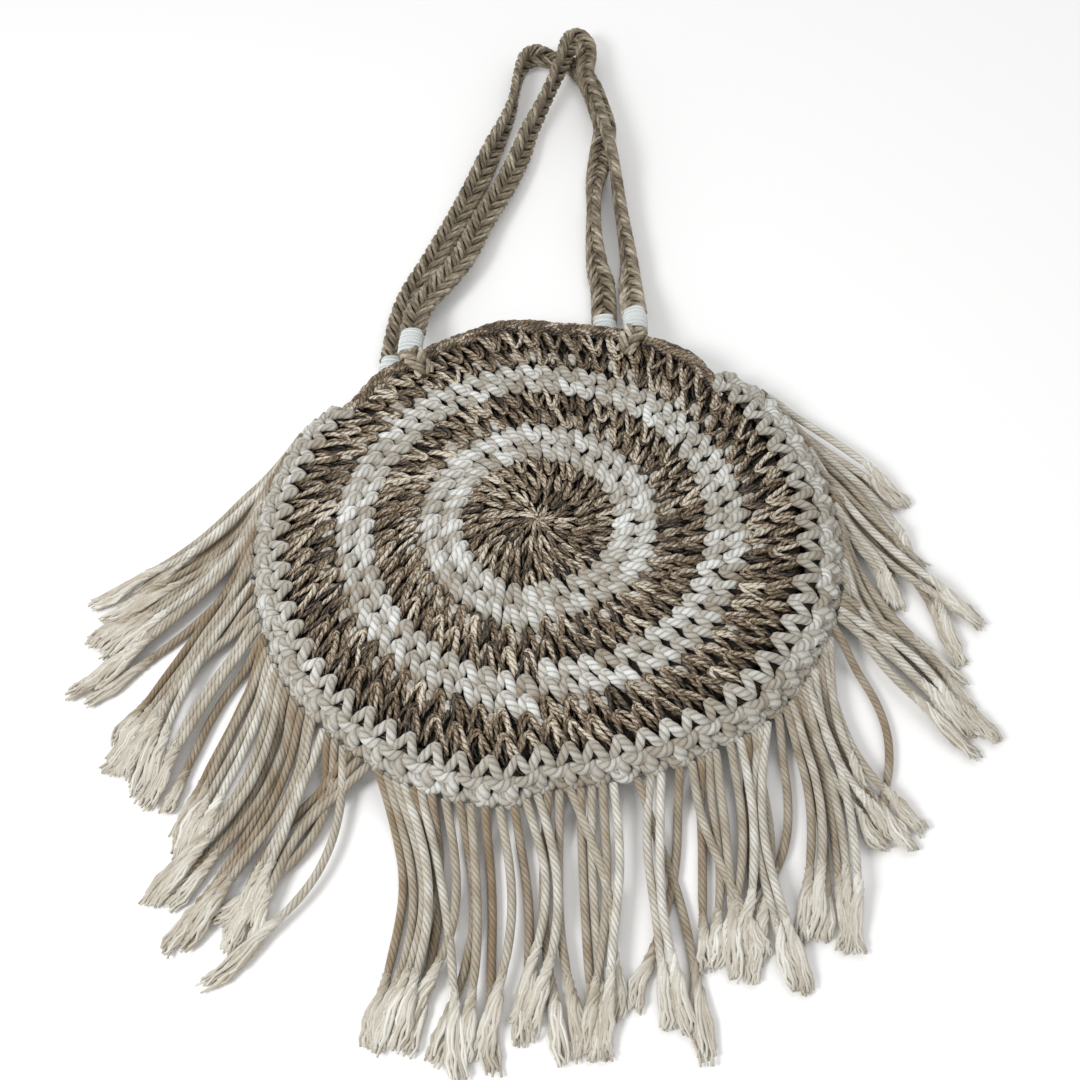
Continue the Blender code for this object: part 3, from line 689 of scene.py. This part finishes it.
KNOT_BAR = (
    (-0.33, 20, -0.0026, 0.50),
    (-0.40, 13, 0.0006, 0.86),
    (-0.33, 4, 0.0028, 1.00),
    (-0.13, -4, 0.0046, 1.08),
    (0.13, -4, 0.0046, 1.08),
    (0.33, 4, 0.0028, 1.00),
    (0.40, 13, 0.0006, 0.86),
    (0.33, 20, -0.0026, 0.50),
)


def edging_core():
    """The body of the edging under its stitches, from the front panel round to the back one. It is drawn in
    dark straw colour as painted shade between the white stitches.
    """
    degrees = np.linspace(MOUTH_END + 0.6, MOUTH_START + 359.4, 120)
    turns = np.linspace(77.0, -77.0, 13)
    outside = [on_edging(degrees, np.full(degrees.shape, turn), -0.0050)[0] for turn in turns]
    inside = [on_edging(degrees, np.full(degrees.shape, turn), -0.0070)[0] for turn in turns[::-1]]
    return body_of_rings(np.stack(outside + inside, axis=1), 0.2, 0.004, finish=1, inside_out=True)


EDGE_TONE = 0.55
BAR_DEPTH = 0.06
edging_parts = [edging_core()]
for upside in (1.0, -1.0):
    edging_parts += [
        edging_rope(EDGE_LEGS, 0.0055, EDGE_TONE, upside),
        edging_rope(EDGE_BAR, 0.0059, EDGE_TONE, upside, 0.5, (0, STITCHES - 1), depth=BAR_DEPTH),
        edging_rope(EDGE_SECOND_BAR, 0.0058, EDGE_TONE, upside, only_deep=True, depth=BAR_DEPTH),
    ]
make_piece("edging_stitches", edging_parts, [COTTON, STRAW], nodes=("edge_band",))


# The two rims of the mouth: a straw chain along the lip of each panel.
# The panel's last stitches end in it, so it is the same double twine laid along the edge.
RIM_WIDTH = 0.0082
RIM_HEIGHT = 0.0072
RIM_STEP = math.degrees(0.0100 / 0.168)
RIM_TWINE = 0.0032
# Lines of the chain: place across the lip (share of its width), slant
RIM_LINES = (
    (0.22, 0.8),
    (0.40, -0.8),
    (0.68, 0.7),
    (0.85, -0.6),
)


def rim_chain(middle, front):
    """Pairs of slanting twines along the mouth, over a core at the height `middle` that is coloured nearly
    black as painted shade between them.
    """
    parts = []
    t = np.linspace(-1.0, 1.0, 9)[None, :]
    for line, (reach, slant) in enumerate(RIM_LINES):
        place = np.arange(MOUTH_START + 0.8, MOUTH_END - 0.3, RIM_STEP) + RIM_STEP * 0.27 * line
        count = len(place)
        place = place + chance.normal(0.0, 0.25, count)
        for twine in (-1.0, 1.0):
            degrees = place[:, None] + RIM_STEP * (0.74 + vary(0.08, count)) * t
            side = RIM_WIDTH * (reach + 0.20 * slant * np.tanh(1.4 * t) + 0.10 * twine)
            side = side + vary(0.0005, count)
            radius = panel_edge(degrees) + GAP + side
            bulge = RIM_HEIGHT * 0.34 * np.cos((side / RIM_WIDTH - 0.5) * 2.2)
            bulge = bulge + 0.0010 * np.cos(t * 1.7) - 0.0004
            wide = RIM_TWINE * (1.0 + vary(0.10, count)) * (1.0 - 0.45 * t**4)
            level = np.maximum(middle + (bulge if front else -bulge), wide * 0.56 + FLOOR_GAP)
            tone = 0.50 + 0.06 * twine + vary(0.17, count)
            parts.append(strands(around(radius, degrees, level), wide, wide, UP, 6, 0.0034, tone,
                                 lobes=2, depth=0.3))
    # The core's tone lies below the straw's darkest stop: painted shade.
    degrees = np.linspace(MOUTH_START + 0.2, MOUTH_END - 0.2, 90)[None, :]
    radius = panel_edge(degrees) + RIM_WIDTH * 0.32
    core = around(radius, degrees, np.full(radius.shape, middle))
    parts.append(strands(core, RIM_WIDTH * 1.10, RIM_HEIGHT * 0.66, UP, 10, 0.0030, -0.05))
    return parts


for name, front, middle in (("front", True, FABRIC * 1.5 + HOLLOW), ("back", False, FABRIC / 2.0)):
    make_piece(name + "_rim_chain", rim_chain(middle, front), [STRAW], nodes=(name + "_rim",))


# The fringe: twisted cotton ropes, each knotted into the edging and laid out on the table.
# Their ends are unravelled into brushes of loose yarn, and the ropes of one lock lie side by side.
ROPE = 0.005
KNOT_WIDTH = 0.0055
FRINGE_LENGTH = 0.150
DROP_SHARE = 0.22
BRUSH_SHARE = 0.76
BRUSH_YARNS = 17
LEVEL_HEIGHT = 0.0023
LAID_POINTS = 34
ROPE_POINTS = 26
YARN_POINTS = 10
# Locks: first and last knot (degrees), strands, heading (degrees), reach, bow, width of the brush
LOCKS_LEFT = (
    (142, 152, 5, 231, 1.06, 0.04, 1.2),
    (153, 163, 5, 227, 1.00, 0.10, 1.2),
    (164, 171, 4, 231, 0.96, 0.06, 1.3),
    (172, 178, 3, 232, 1.02, 0.08, 1.2),
    (179, 185, 3, 245, 1.03, 0.02, 1.3),
    (187, 191, 2, 252, 0.99, -0.065, 1.3),
    (192, 198, 3, 238, 0.85, -0.05, 1.2),
    (199, 204, 3, 247, 0.79, -0.04, 1.2),
    (205, 211, 4, 253, 0.84, 0.01, 1.3),
    (212, 219, 4, 245, 0.90, 0.11, 1.3),
    (220, 224, 3, 246, 0.96, 0.08, 1.2),
    (225, 228, 2, 252, 0.76, 0.05, 1.2),
    (229, 231, 2, 242, 0.74, 0.17, 1.2),
    (232, 234, 1, 242, 0.90, 0.20, 1.6),
    (235, 239, 3, 241, 0.78, -0.09, 1.3),
)
LOCKS_BOTTOM = (
    (241, 248, 5, 270, 0.92, 0.12, 1.5),
    (249, 250, 1, 279, 0.98, 0.04, 1.8),
    (251, 252, 1, 262, 0.77, 0.08, 1.6),
    (253.5, 254.5, 1, 261, 0.82, 0.13, 1.6),
    (256, 257, 1, 265, 0.86, 0.12, 1.8),
    (258, 259, 1, 270, 0.85, 0.02, 1.6),
    (260.5, 261.5, 1, 272.5, 0.88, 0.03, 1.8),
    (263, 264, 1, 265, 0.84, 0.10, 1.8),
    (265.5, 266.5, 1, 272.5, 0.83, 0.045, 1.8),
    (268, 270, 2, 265, 0.78, 0.14, 1.4),
    (272, 274, 2, 273, 0.91, -0.03, 1.3),
    (275.5, 276.5, 1, 279, 0.80, 0.08, 1.4),
    (278, 280, 2, 272, 0.91, -0.02, 1.3),
    (282, 284, 2, 264, 0.91, 0.055, 1.1),
)
LOCKS_RIGHT = (
    (288, 289, 1, 281, 1.00, 0.04, 1.9),
    (291, 293, 2, 273, 0.90, -0.05, 1.4),
    (296, 297, 1, 257, 0.88, 0.06, 1.5),
    (298.5, 299.5, 1, 288, 0.72, -0.04, 1.5),
    (301, 304, 3, 268, 0.78, 0.02, 1.4),
    (307, 309, 2, 264, 0.76, 0.09, 1.5),
    (310.5, 312, 2, 265, 0.88, 0.05, 1.6),
    (313.5, 315, 2, 273, 0.96, -0.09, 1.3),
    (317, 318, 1, 258, 0.76, 0.10, 1.8),
    (319.5, 321, 2, 267, 0.88, 0.09, 1.2),
    (322, 326, 4, 272, 0.95, 0.07, 1.0),
    (327, 329, 2, 288, 0.68, -0.08, 1.5),
    (330, 333, 3, 292, 0.76, -0.10, 1.3),
    (334.5, 336.5, 2, 276, 0.66, -0.10, 1.2),
    (338.5, 339.5, 1, 274, 0.85, 0.13, 1.2),
    (341.5, 346, 4, 311, 0.64, 0.10, 1.4),
    (347, 350, 2, 308, 0.32, 0.00, 1.5),
    (352, 358, 4, 300, 0.92, -0.10, 1.2),
    (359.5, 363, 2, 300, 0.78, -0.08, 1.3),
    (365, 369, 3, 292, 0.50, 0.10, 1.3),
    (371, 375, 2, 296, 0.95, 0.11, 1.2),
    (377, 381, 2, 307, 1.00, -0.09, 1.2),
    (384, 388, 3, 304, 0.80, 0.02, 1.2),
    (394.5, 398, 3, 314, 0.80, 0.03, 1.2),
)


def heading_vector(degrees):
    return np.array((math.cos(math.radians(degrees)), math.sin(math.radians(degrees)), 0.0))


def smooth_step(share):
    share = share.clip(0.0, 1.0)
    return share * share * (3.0 - 2.0 * share)


FRINGE_COTTON = yarn_finish("fringe_cotton", dark=(0.24, 0.175, 0.105), middle=(0.44, 0.40, 0.325),
                            pale=(0.80, 0.79, 0.745), roughness=0.9, plies=5.0,
                            bump=0.0005, sheen=0.2, specular=0.2, streaky=0.7, groove_shade=0.26)
FRAYED_COTTON = yarn_finish("frayed_cotton", dark=(0.28, 0.215, 0.135), middle=(0.52, 0.48, 0.40),
                            pale=(0.80, 0.785, 0.725), roughness=0.95, plies=1.0,
                            bump=0.0002, sheen=0.3, specular=0.1, streaky=0.7, groove_shade=0.10)


def laid_rope(lock, k, level):
    """The middle line of one rope of a lock, from its knot down to the table and along it."""
    first, last, count, heading, reach, bow, _ = lock
    ahead, across = heading_vector(heading), heading_vector(heading + 90.0)
    centre = (first + last) / 2.0
    at = centre if count == 1 else first + (last - first) * k / (count - 1)
    root = around(edging_face(at) + GAP + KNOT_WIDTH * 0.75, at, 0.0)
    lock_middle = around(edging_face(centre) + GAP + KNOT_WIDTH * 0.75, centre, 0.0)
    length = reach * FRINGE_LENGTH * (1.0 + min(chance.normal(0.0, 0.03), 0.02))
    lane = (k - (count - 1) / 2.0) * ROPE * 1.02
    if (root - lock_middle) @ across * lane < 0.0:
        lane = -lane
    share = np.linspace(0.0, 1.0, LAID_POINTS)[:, None]
    narrow = smooth_step(share / 0.3)
    path = root * (1.0 - narrow) + (lock_middle + across * lane) * narrow + ahead * length * share
    path = path + across * (bow * length + chance.normal(0.0, 0.0012)) * np.sin(math.pi * share)
    path = path + across * chance.normal(0.0, 0.0018) * share * np.sin(7.0 * share + chance.uniform(0.0, 6.3))
    drop = smooth_step(share / DROP_SHARE)
    rest = ROPE / 2.0 + FLOOR_GAP + LEVEL_HEIGHT * level
    path[:, 2:] = rest + (EDGE_MIDDLE - rest) * (1.0 - drop)
    return path


def brush_yarns(path, cut, width, rope_tone, tip_tone):
    """The loose yarns past a rope's cut: they untwist out of it, spread, wave and end nearly level."""
    ahead = path[cut] - path[cut - 2]
    ahead = ahead / np.linalg.norm(ahead)
    across = np.array((-ahead[1], ahead[0], 0.0))
    start, left = path[cut], np.linalg.norm(path[-1] - path[cut])
    sway, count = chance.normal(0.0, 0.0022), BRUSH_YARNS
    s = np.linspace(-0.22, 1.0, YARN_POINTS)[None, :] * (1.0 + vary(0.05, count))
    out = np.sqrt(chance.uniform(0.05, 1.0, (count, 1)))
    turn = 2.4 * np.arange(count)[:, None] + 9.0 * s.clip(-0.22, 0.25)
    fan = 0.0021 + (ROPE * width * 0.62 - 0.0021) * np.sin(1.9 * s.clip(0.0, 1.05))
    loose = s.clip(0.0, 1.0)
    wave = 0.0008 * np.sin(11.0 * s + chance.uniform(0.0, 6.3, (count, 1)))
    wave = wave + 0.0005 * np.sin(24.0 * s + chance.uniform(0.0, 6.3, (count, 1)))
    sideways = out * fan * np.cos(turn) + wave * (0.15 + loose) + sway * loose * np.sin(3.2 * s)
    top = out * 0.0020 * np.sin(turn) * (1.0 - 0.25 * loose)
    yarns = start + ahead * (left * s)[..., None] + across * sideways[..., None]
    yarns[..., 2] = np.maximum(start[2] - loose * (start[2] - 0.0030) + top, 0.0012)
    blend = (s / 0.35).clip(0.0, 1.0)
    # Painted light and shade: yarns that lie higher are paler and lower ones darker.
    tones = rope_tone * (1.0 - blend) + tip_tone * blend + 60.0 * top + vary(0.12, count)
    return yarns, tones


def read_columns(table, places, at):
    return np.stack([np.interp(at, places, column) for column in table.T], axis=1)


def fringe_parts(locks, shade):
    """The ropes of some locks, which lie at four levels in turn, and the brushes at their ends."""
    ropes, rope_tones, yarns, yarn_tones = [], [], [], []
    points = np.arange(LAID_POINTS)
    for number_of_lock, lock in enumerate(locks):
        for k in range(lock[2]):
            level = (k + 2 * number_of_lock) % 4
            path = laid_rope(lock, k, level + 0.05 * k + 0.021 * number_of_lock)
            cut = int(round((LAID_POINTS - 1) * (BRUSH_SHARE + chance.uniform(-0.03, 0.05))))
            even = np.linspace(0, cut, ROPE_POINTS)
            ropes.append(read_columns(path, points, even))
            # Painted light and shade: ropes at lower levels are darker and higher ones paler, and `shade`
            # darkens each side of the fringe and its brush tips.
            tone = 0.51 - shade + 0.17 * (level - 1.5) + chance.normal(0.0, 0.08)
            rope_tones.append(tone)
            loose, tones = brush_yarns(path, cut, lock[6], tone, 0.60 - 0.6 * shade)
            yarns.append(loose)
            yarn_tones.append(tones)
    taper = np.interp(np.linspace(0.0, 1.0, ROPE_POINTS), (0.0, 0.85, 1.0), (1.0, 1.0, 0.74))[None, :]
    thick = ROPE * 0.98 * taper
    thin = np.interp(np.linspace(0.0, 1.0, YARN_POINTS), (0.0, 0.25, 0.7, 1.0),
                     (0.0016, 0.0024, 0.0022, 0.0013))[None, :]
    return [strands(ropes, thick, thick, UP, 10, 0.0040, rope_tones),
            strands(np.concatenate(yarns), thin, thin, UP, 4, 0.0300, np.concatenate(yarn_tones), finish=2)]


def knots(first_angle, last_angle):
    """The knots that hold the ropes: a knob over a bar whose two ends bend up round it."""
    first = math.ceil((first_angle - FIRST_STITCH) / EDGE_STEP - 0.5)
    last = math.floor((last_angle - FIRST_STITCH) / EDGE_STEP - 0.5)
    row = (first, last + 1)
    tied = [edging_rope(KNOT_BAR, 0.0067, 0.54, 1.0, stitches=row, depth=BAR_DEPTH),
            edging_rope(KNOT_KNOB, 0.0072, 0.62, 1.0, stitches=row, depth=BAR_DEPTH),
            edging_rope(KNOT_KNOB, 0.0060, 0.54, -1.0, stitches=row)]
    for part in tied:
        part["finish"] = 1
    return tied


# The last column is painted shade for each part of the fringe, darkest on the left.
for name, first_angle, last_angle, locks, shade in (
    ("fringe_left", MOUTH_END + 0.3, 240.0, LOCKS_LEFT, 0.12),
    ("fringe_bottom", 240.3, 285.7, LOCKS_BOTTOM, 0.08),
    ("fringe_right", 286.0, MOUTH_START + 359.7, LOCKS_RIGHT, 0.04),
):
    tied = knots(first_angle, last_angle)
    make_piece(name + "_ropes", fringe_parts(locks, shade) + tied, [FRINGE_COTTON, COTTON, FRAYED_COTTON],
               nodes=(name,))


# The handles: flat braids of five straw strands, each a pair of twines, laid down beyond the mouth.
# The front one is doubled over on its edge at its far end, on top of the back one. White cord is wound
# round their ends, and loops of the same straw carry them on the rims.
STRAP_WIDTH = 0.019
STRAP_THICKNESS = 0.006
STRAP_SPACING = 0.0027
HANDLE_REACH = 0.350
WHIPPING_LENGTH = 0.026
WHIPPING_WIDTH = 0.0165
WHIPPING_THICKNESS = 0.0105
WHIPPING_CORD = 0.0020
WHIPPING_TURN = 0.00165
TURN_POINTS = 20
LOOP_WIDTH = 0.015
LOOP_STRAND = 0.003
LOOP_TONGUE = 0.021
FRONT_FEET = (121.0, 67.0)
BACK_FEET = (127.5, 74.0)
# Across (share of the way between the feet), along (share of the reach), lift (share of the width), roll
FRONT_ROUTE = (
    (0.023, 0.146, 0.66, 4),
    (0.134, 0.228, 0.58, 8),
    (0.220, 0.299, 0.52, 12),
    (0.296, 0.399, 0.42, 16),
    (0.405, 0.517, 0.30, 25),
    (0.479, 0.615, 0.20, 40),
    (0.529, 0.697, 0.16, 62),
    (0.581, 0.761, 0.22, 76),
    (0.645, 0.843, 0.34, 80),
    (0.710, 0.939, 0.42, 62),
    (0.745, 0.996, 0.42, 46),
    (0.788, 1.016, 0.42, 30),
    (0.827, 0.984, 0.42, 24),
    (0.830, 0.931, 0.42, 28),
    (0.828, 0.836, 0.42, 62),
    (0.885, 0.730, 0.42, 86),
    (0.921, 0.639, 0.42, 90),
    (0.944, 0.551, 0.42, 88),
    (0.958, 0.480, 0.20, 84),
    (0.977, 0.369, 0.02, 80),
    (0.994, 0.253, 0.00, 66),
    (0.993, 0.166, 0.20, 35),
)
BACK_ROUTE = (
    (0.052, 0.204, 0.10, 3),
    (0.174, 0.344, 0.00, 4),
    (0.277, 0.448, 0.00, 8),
    (0.373, 0.554, 0.00, 20),
    (0.454, 0.654, 0.00, 50),
    (0.511, 0.725, 0.00, 75),
    (0.556, 0.803, 0.00, 86),
    (0.578, 0.886, 0.00, 88),
    (0.612, 0.953, 0.00, 78),
    (0.680, 0.978, 0.00, 55),
    (0.764, 0.973, 0.00, 12),
    (0.877, 0.944, 0.00, 0),
    (0.972, 0.870, 0.00, 0),
    (1.027, 0.760, 0.00, 0),
    (1.053, 0.684, 0.00, 0),
    (1.034, 0.623, 0.00, 0),
    (1.000, 0.518, 0.00, 26),
    (0.977, 0.427, 0.00, 66),
    (0.966, 0.317, 0.00, 66),
    (0.978, 0.212, 0.00, 45),
    (1.001, 0.156, 0.06, 20),
)


def foot(degrees, height):
    """Where a handle ends, just outside its loop."""
    near = [panel_edge(degrees + turn) * math.cos(math.radians(turn)) for turn in (-2.5, -1.2, 0.0, 1.2, 2.5)]
    return around(max(near) + RIM_WIDTH + LOOP_STRAND + 4.0 * GAP, degrees, height)


def strap_rest(turn):
    """The lowest that the middle of a strap can lie when it is rolled by `turn`."""
    return np.abs(np.sin(turn)) * STRAP_WIDTH / 2.0 + np.abs(np.cos(turn)) * STRAP_THICKNESS / 2.0 + FLOOR_GAP


def lengths_along(points):
    return np.concatenate(([0.0], np.cumsum(np.linalg.norm(np.diff(points, axis=0), axis=1))))


def strap_line(feet, foot_height, route):
    """Rows of x, y, z and roll along the middle of a handle, every 2.7 mm, and their places along it."""
    left, right = foot(feet[0], foot_height), foot(feet[1], foot_height)
    rows = [(*left, 0.0)]
    for across, along, lift, roll in route:
        place = left + (right - left) * across
        height = strap_rest(math.radians(roll)) + lift * STRAP_WIDTH
        rows.append((place[0], place[1] + along * HANDLE_REACH, height, roll))
    rows.append((*right, 0.0))
    fine = smooth_rows(rows, 1500)
    lengths = lengths_along(fine[:, :3])
    even = np.linspace(0.0, lengths[-1], int(lengths[-1] / STRAP_SPACING))
    line = read_columns(fine, lengths, even)
    line[:, 2] = np.maximum(line[:, 2], strap_rest(np.radians(line[:, 3])))
    return line, even


def strap_frames(line):
    """The way across a strap and the way its face looks, along its line."""
    ahead = np.gradient(line[:, :3], axis=0)
    for _ in range(6):
        ahead[1:-1] = (ahead[:-2] + 2.0 * ahead[1:-1] + ahead[2:]) / 4.0
    ahead = unit(ahead)
    level = unit(np.cross(UP, ahead))
    upright = np.cross(ahead, level)
    roll = np.radians(line[:, 3])[:, None]
    across = level * np.cos(roll) + upright * np.sin(roll)
    return across, np.cross(ahead, across)


def braid(middle, across, face, run, width, climbs, twine, period, bundles, paler):
    """Pairs of twines round a flat core, from edge to edge and over and under each other; the core is
    coloured nearly black as painted shade in the gaps, and each twine is painted darker where it crosses the
    middle. `run` is the length so far, `climbs` how far they rise and sink, and `period` the length in which
    one comes back."""
    paths, tones, ups = [], [], []
    for bundle in range(bundles):
        for place, toned in ((-1.0, -0.10), (1.0, 0.12)):
            phase = 2.0 * math.pi * ((run + place * twine * 0.60) / period + bundle / bundles)
            sideways = (width / 2.0 - twine * 0.55) * np.cos(phase)
            climb = -climbs * np.tanh(2.0 * np.sin(2.0 * phase))
            paths.append(middle + across * sideways[:, None] + face * climb[:, None])
            ups.append(face)
            arms = chance.normal(0.0, 0.07, int(phase[-1] / math.pi) + 2)[(phase / math.pi).astype(int)]
            # Painted shade: each twine is darker where it crosses the middle of the strap.
            under = 0.22 * np.exp(-((np.cos(phase) / 0.3) ** 2))
            swap_over = 1.0 if bundle % 2 else -1.0
            tones.append(0.50 + toned * swap_over + arms - under + paler)
    twines = strands(np.array(paths), twine * 1.04, twine * 0.98, np.array(ups), 7, 0.0075, np.array(tones))
    # The flat core's tone lies below the strap's darkest stop: painted shade in the gaps between the twines.
    core_width = (width - twine * 1.6) * np.linalg.norm(across, axis=1)[None]
    core = strands(middle[None], core_width, twine * 0.55, face[None], 8, 0.0040, -0.1)
    return [twines, core]


def whipping(line, even, first, last):
    """White cord wound closely round the ends of the braid, over an oval core that is coloured darker grey as
    painted shade between the turns.
    """
    across, face = strap_frames(line)
    turns = round((last - first) / WHIPPING_TURN)
    t = np.linspace(0.0, 1.0, turns * TURN_POINTS)
    run = first + (last - first) * (0.03 + 0.94 * t)
    centre, side, top = (read_columns(table, even, run) for table in (line[:, :3], across, face))
    angle = 2.0 * math.pi * turns * t
    swell = 1.0 + 0.04 * np.sin(math.pi * t)
    wobble = 1.0 + 0.02 * np.sin(t * 37.0) + 0.015 * np.sin(t * 91.0)
    wide = (WHIPPING_WIDTH / 2.0 - 0.0010) * swell * wobble
    tall = (WHIPPING_THICKNESS / 2.0 - 0.0009) * swell * wobble
    path = centre + side * (wide * np.cos(angle))[:, None] + top * (tall * np.sin(angle))[:, None]
    out = side * np.cos(angle)[:, None] + top * np.sin(angle)[:, None]
    tone = 0.55 + 0.18 * np.sin(t * 40.0) + 0.12 * np.sin(t * 131.0)
    cord = strands(path[None], WHIPPING_CORD, WHIPPING_CORD * 0.95, out[None], 6, 0.0016, tone[None])
    # The core's low tone is painted shade between the turns of the cord.
    core = strands(centre[None, ::TURN_POINTS], WHIPPING_WIDTH - 0.0030, WHIPPING_THICKNESS - 0.0026,
                   top[None, ::TURN_POINTS], 12, 0.003, 0.1)
    return [cord, core]


def rim_loop(degrees, front):
    """The ends of the braid's strands, doubled over the rim and drawn through the last round."""
    outer = foot(degrees, 0.0)
    reach = math.hypot(outer[0], outer[1]) - LOOP_STRAND
    tongue = reach - LOOP_TONGUE
    half = LOOP_STRAND * 0.5
    wall = reach + half
    # Distance from the origin and height of the loop's middle, from its tongue over the rim and down
    if front:
        over = float(panel_top(np.array(tongue))) + GAP + half
        low = float(panel_top(np.array(reach))) - FABRIC - GAP - half
        route = (
            (tongue, over - 0.0030),
            (tongue + 0.003, over - 0.0002),
            (reach - 0.010, over + 0.0006),
            (reach - 0.003, over),
            (wall, over - 0.0025),
            (wall, (over + low) / 2.0),
            (wall - 0.0004, low + 0.002),
            (reach - 0.004, low),
            (tongue + 0.004, low),
        )
    else:
        over = FABRIC + half + GAP
        low = half + FLOOR_GAP
        route = (
            (tongue, over),
            (reach - 0.006, over),
            (wall - 0.0006, over - 0.0012),
            (wall, (over + low) / 2.0),
            (wall, low + 0.0008),
        )
    curve = smooth_rows(route, 60)
    out, sideways = heading_vector(degrees), heading_vector(degrees + 90.0)
    middle = out * curve[:, :1]
    middle[:, 2] = curve[:, 1]
    face = unit(np.cross(np.gradient(middle, axis=0), sideways))
    run = lengths_along(middle)
    pinch = np.interp(run / run[-1], (0.0, 0.3, 0.7, 1.0), (0.70, 1.0, 1.0, 0.85))
    return braid(middle, sideways * pinch[:, None], face, run, width=LOOP_WIDTH * 1.12, climbs=0.0014,
                 twine=0.0035, period=0.036, bundles=3, paler=0.16)


WHIPPING = yarn_finish("whipping_cord", dark=(0.42, 0.44, 0.43), middle=(0.68, 0.715, 0.71),
                       pale=(0.86, 0.92, 0.93), roughness=0.7, plies=2.0, fibre_scale=1500.0,
                       bump=0.0003, sheen=0.1, specular=0.3, streaky=0.8, groove_shade=0.30)
STRAP = yarn_finish("strap_twine", dark=(0.05, 0.034, 0.018), middle=(0.25, 0.205, 0.14),
                    pale=(0.68, 0.62, 0.51), roughness=0.6, plies=2.0, fibre_scale=1100.0,
                    bump=0.0004, specular=0.4, streaky=1.1, groove_shade=0.22)

for name, feet, foot_height, route in (
    ("front", FRONT_FEET, FABRIC + HOLLOW + FABRIC * 0.55, FRONT_ROUTE),
    ("back", BACK_FEET, WHIPPING_THICKNESS / 2.0 + 2.0 * FLOOR_GAP, BACK_ROUTE),
):
    line, even = strap_line(feet, foot_height, route)
    total = even[-1]
    keep = (even > WHIPPING_LENGTH * 0.8) & (even < total - WHIPPING_LENGTH * 0.8)
    across, face = strap_frames(line)
    run = even[keep]
    end_tone = 0.24 if name == "front" else 0.08
    paler = np.interp(run, (0.0, 0.04, total - 0.12, total), (0.06, 0.0, 0.0, end_tone))
    handle = braid(line[keep, :3], across[keep], face[keep], run, width=STRAP_WIDTH, climbs=0.0018,
                   twine=0.0031, period=0.054, bundles=5, paler=paler)
    make_piece(name + "_handle_braid", handle, [STRAP], nodes=("handle_" + name,))
    for side, start, end in (("left", 0.0, WHIPPING_LENGTH), ("right", total - WHIPPING_LENGTH, total)):
        make_piece(name + "_whipping_cord_" + side, whipping(line, even, start, end), [WHIPPING],
                   nodes=("whipping_" + name + "_" + side,))
    for side, degrees in zip(("left", "right"), feet):
        make_piece(name + "_rim_loop_" + side, rim_loop(degrees, name == "front"), [STRAP],
                   nodes=("loop_" + name + "_" + side,))
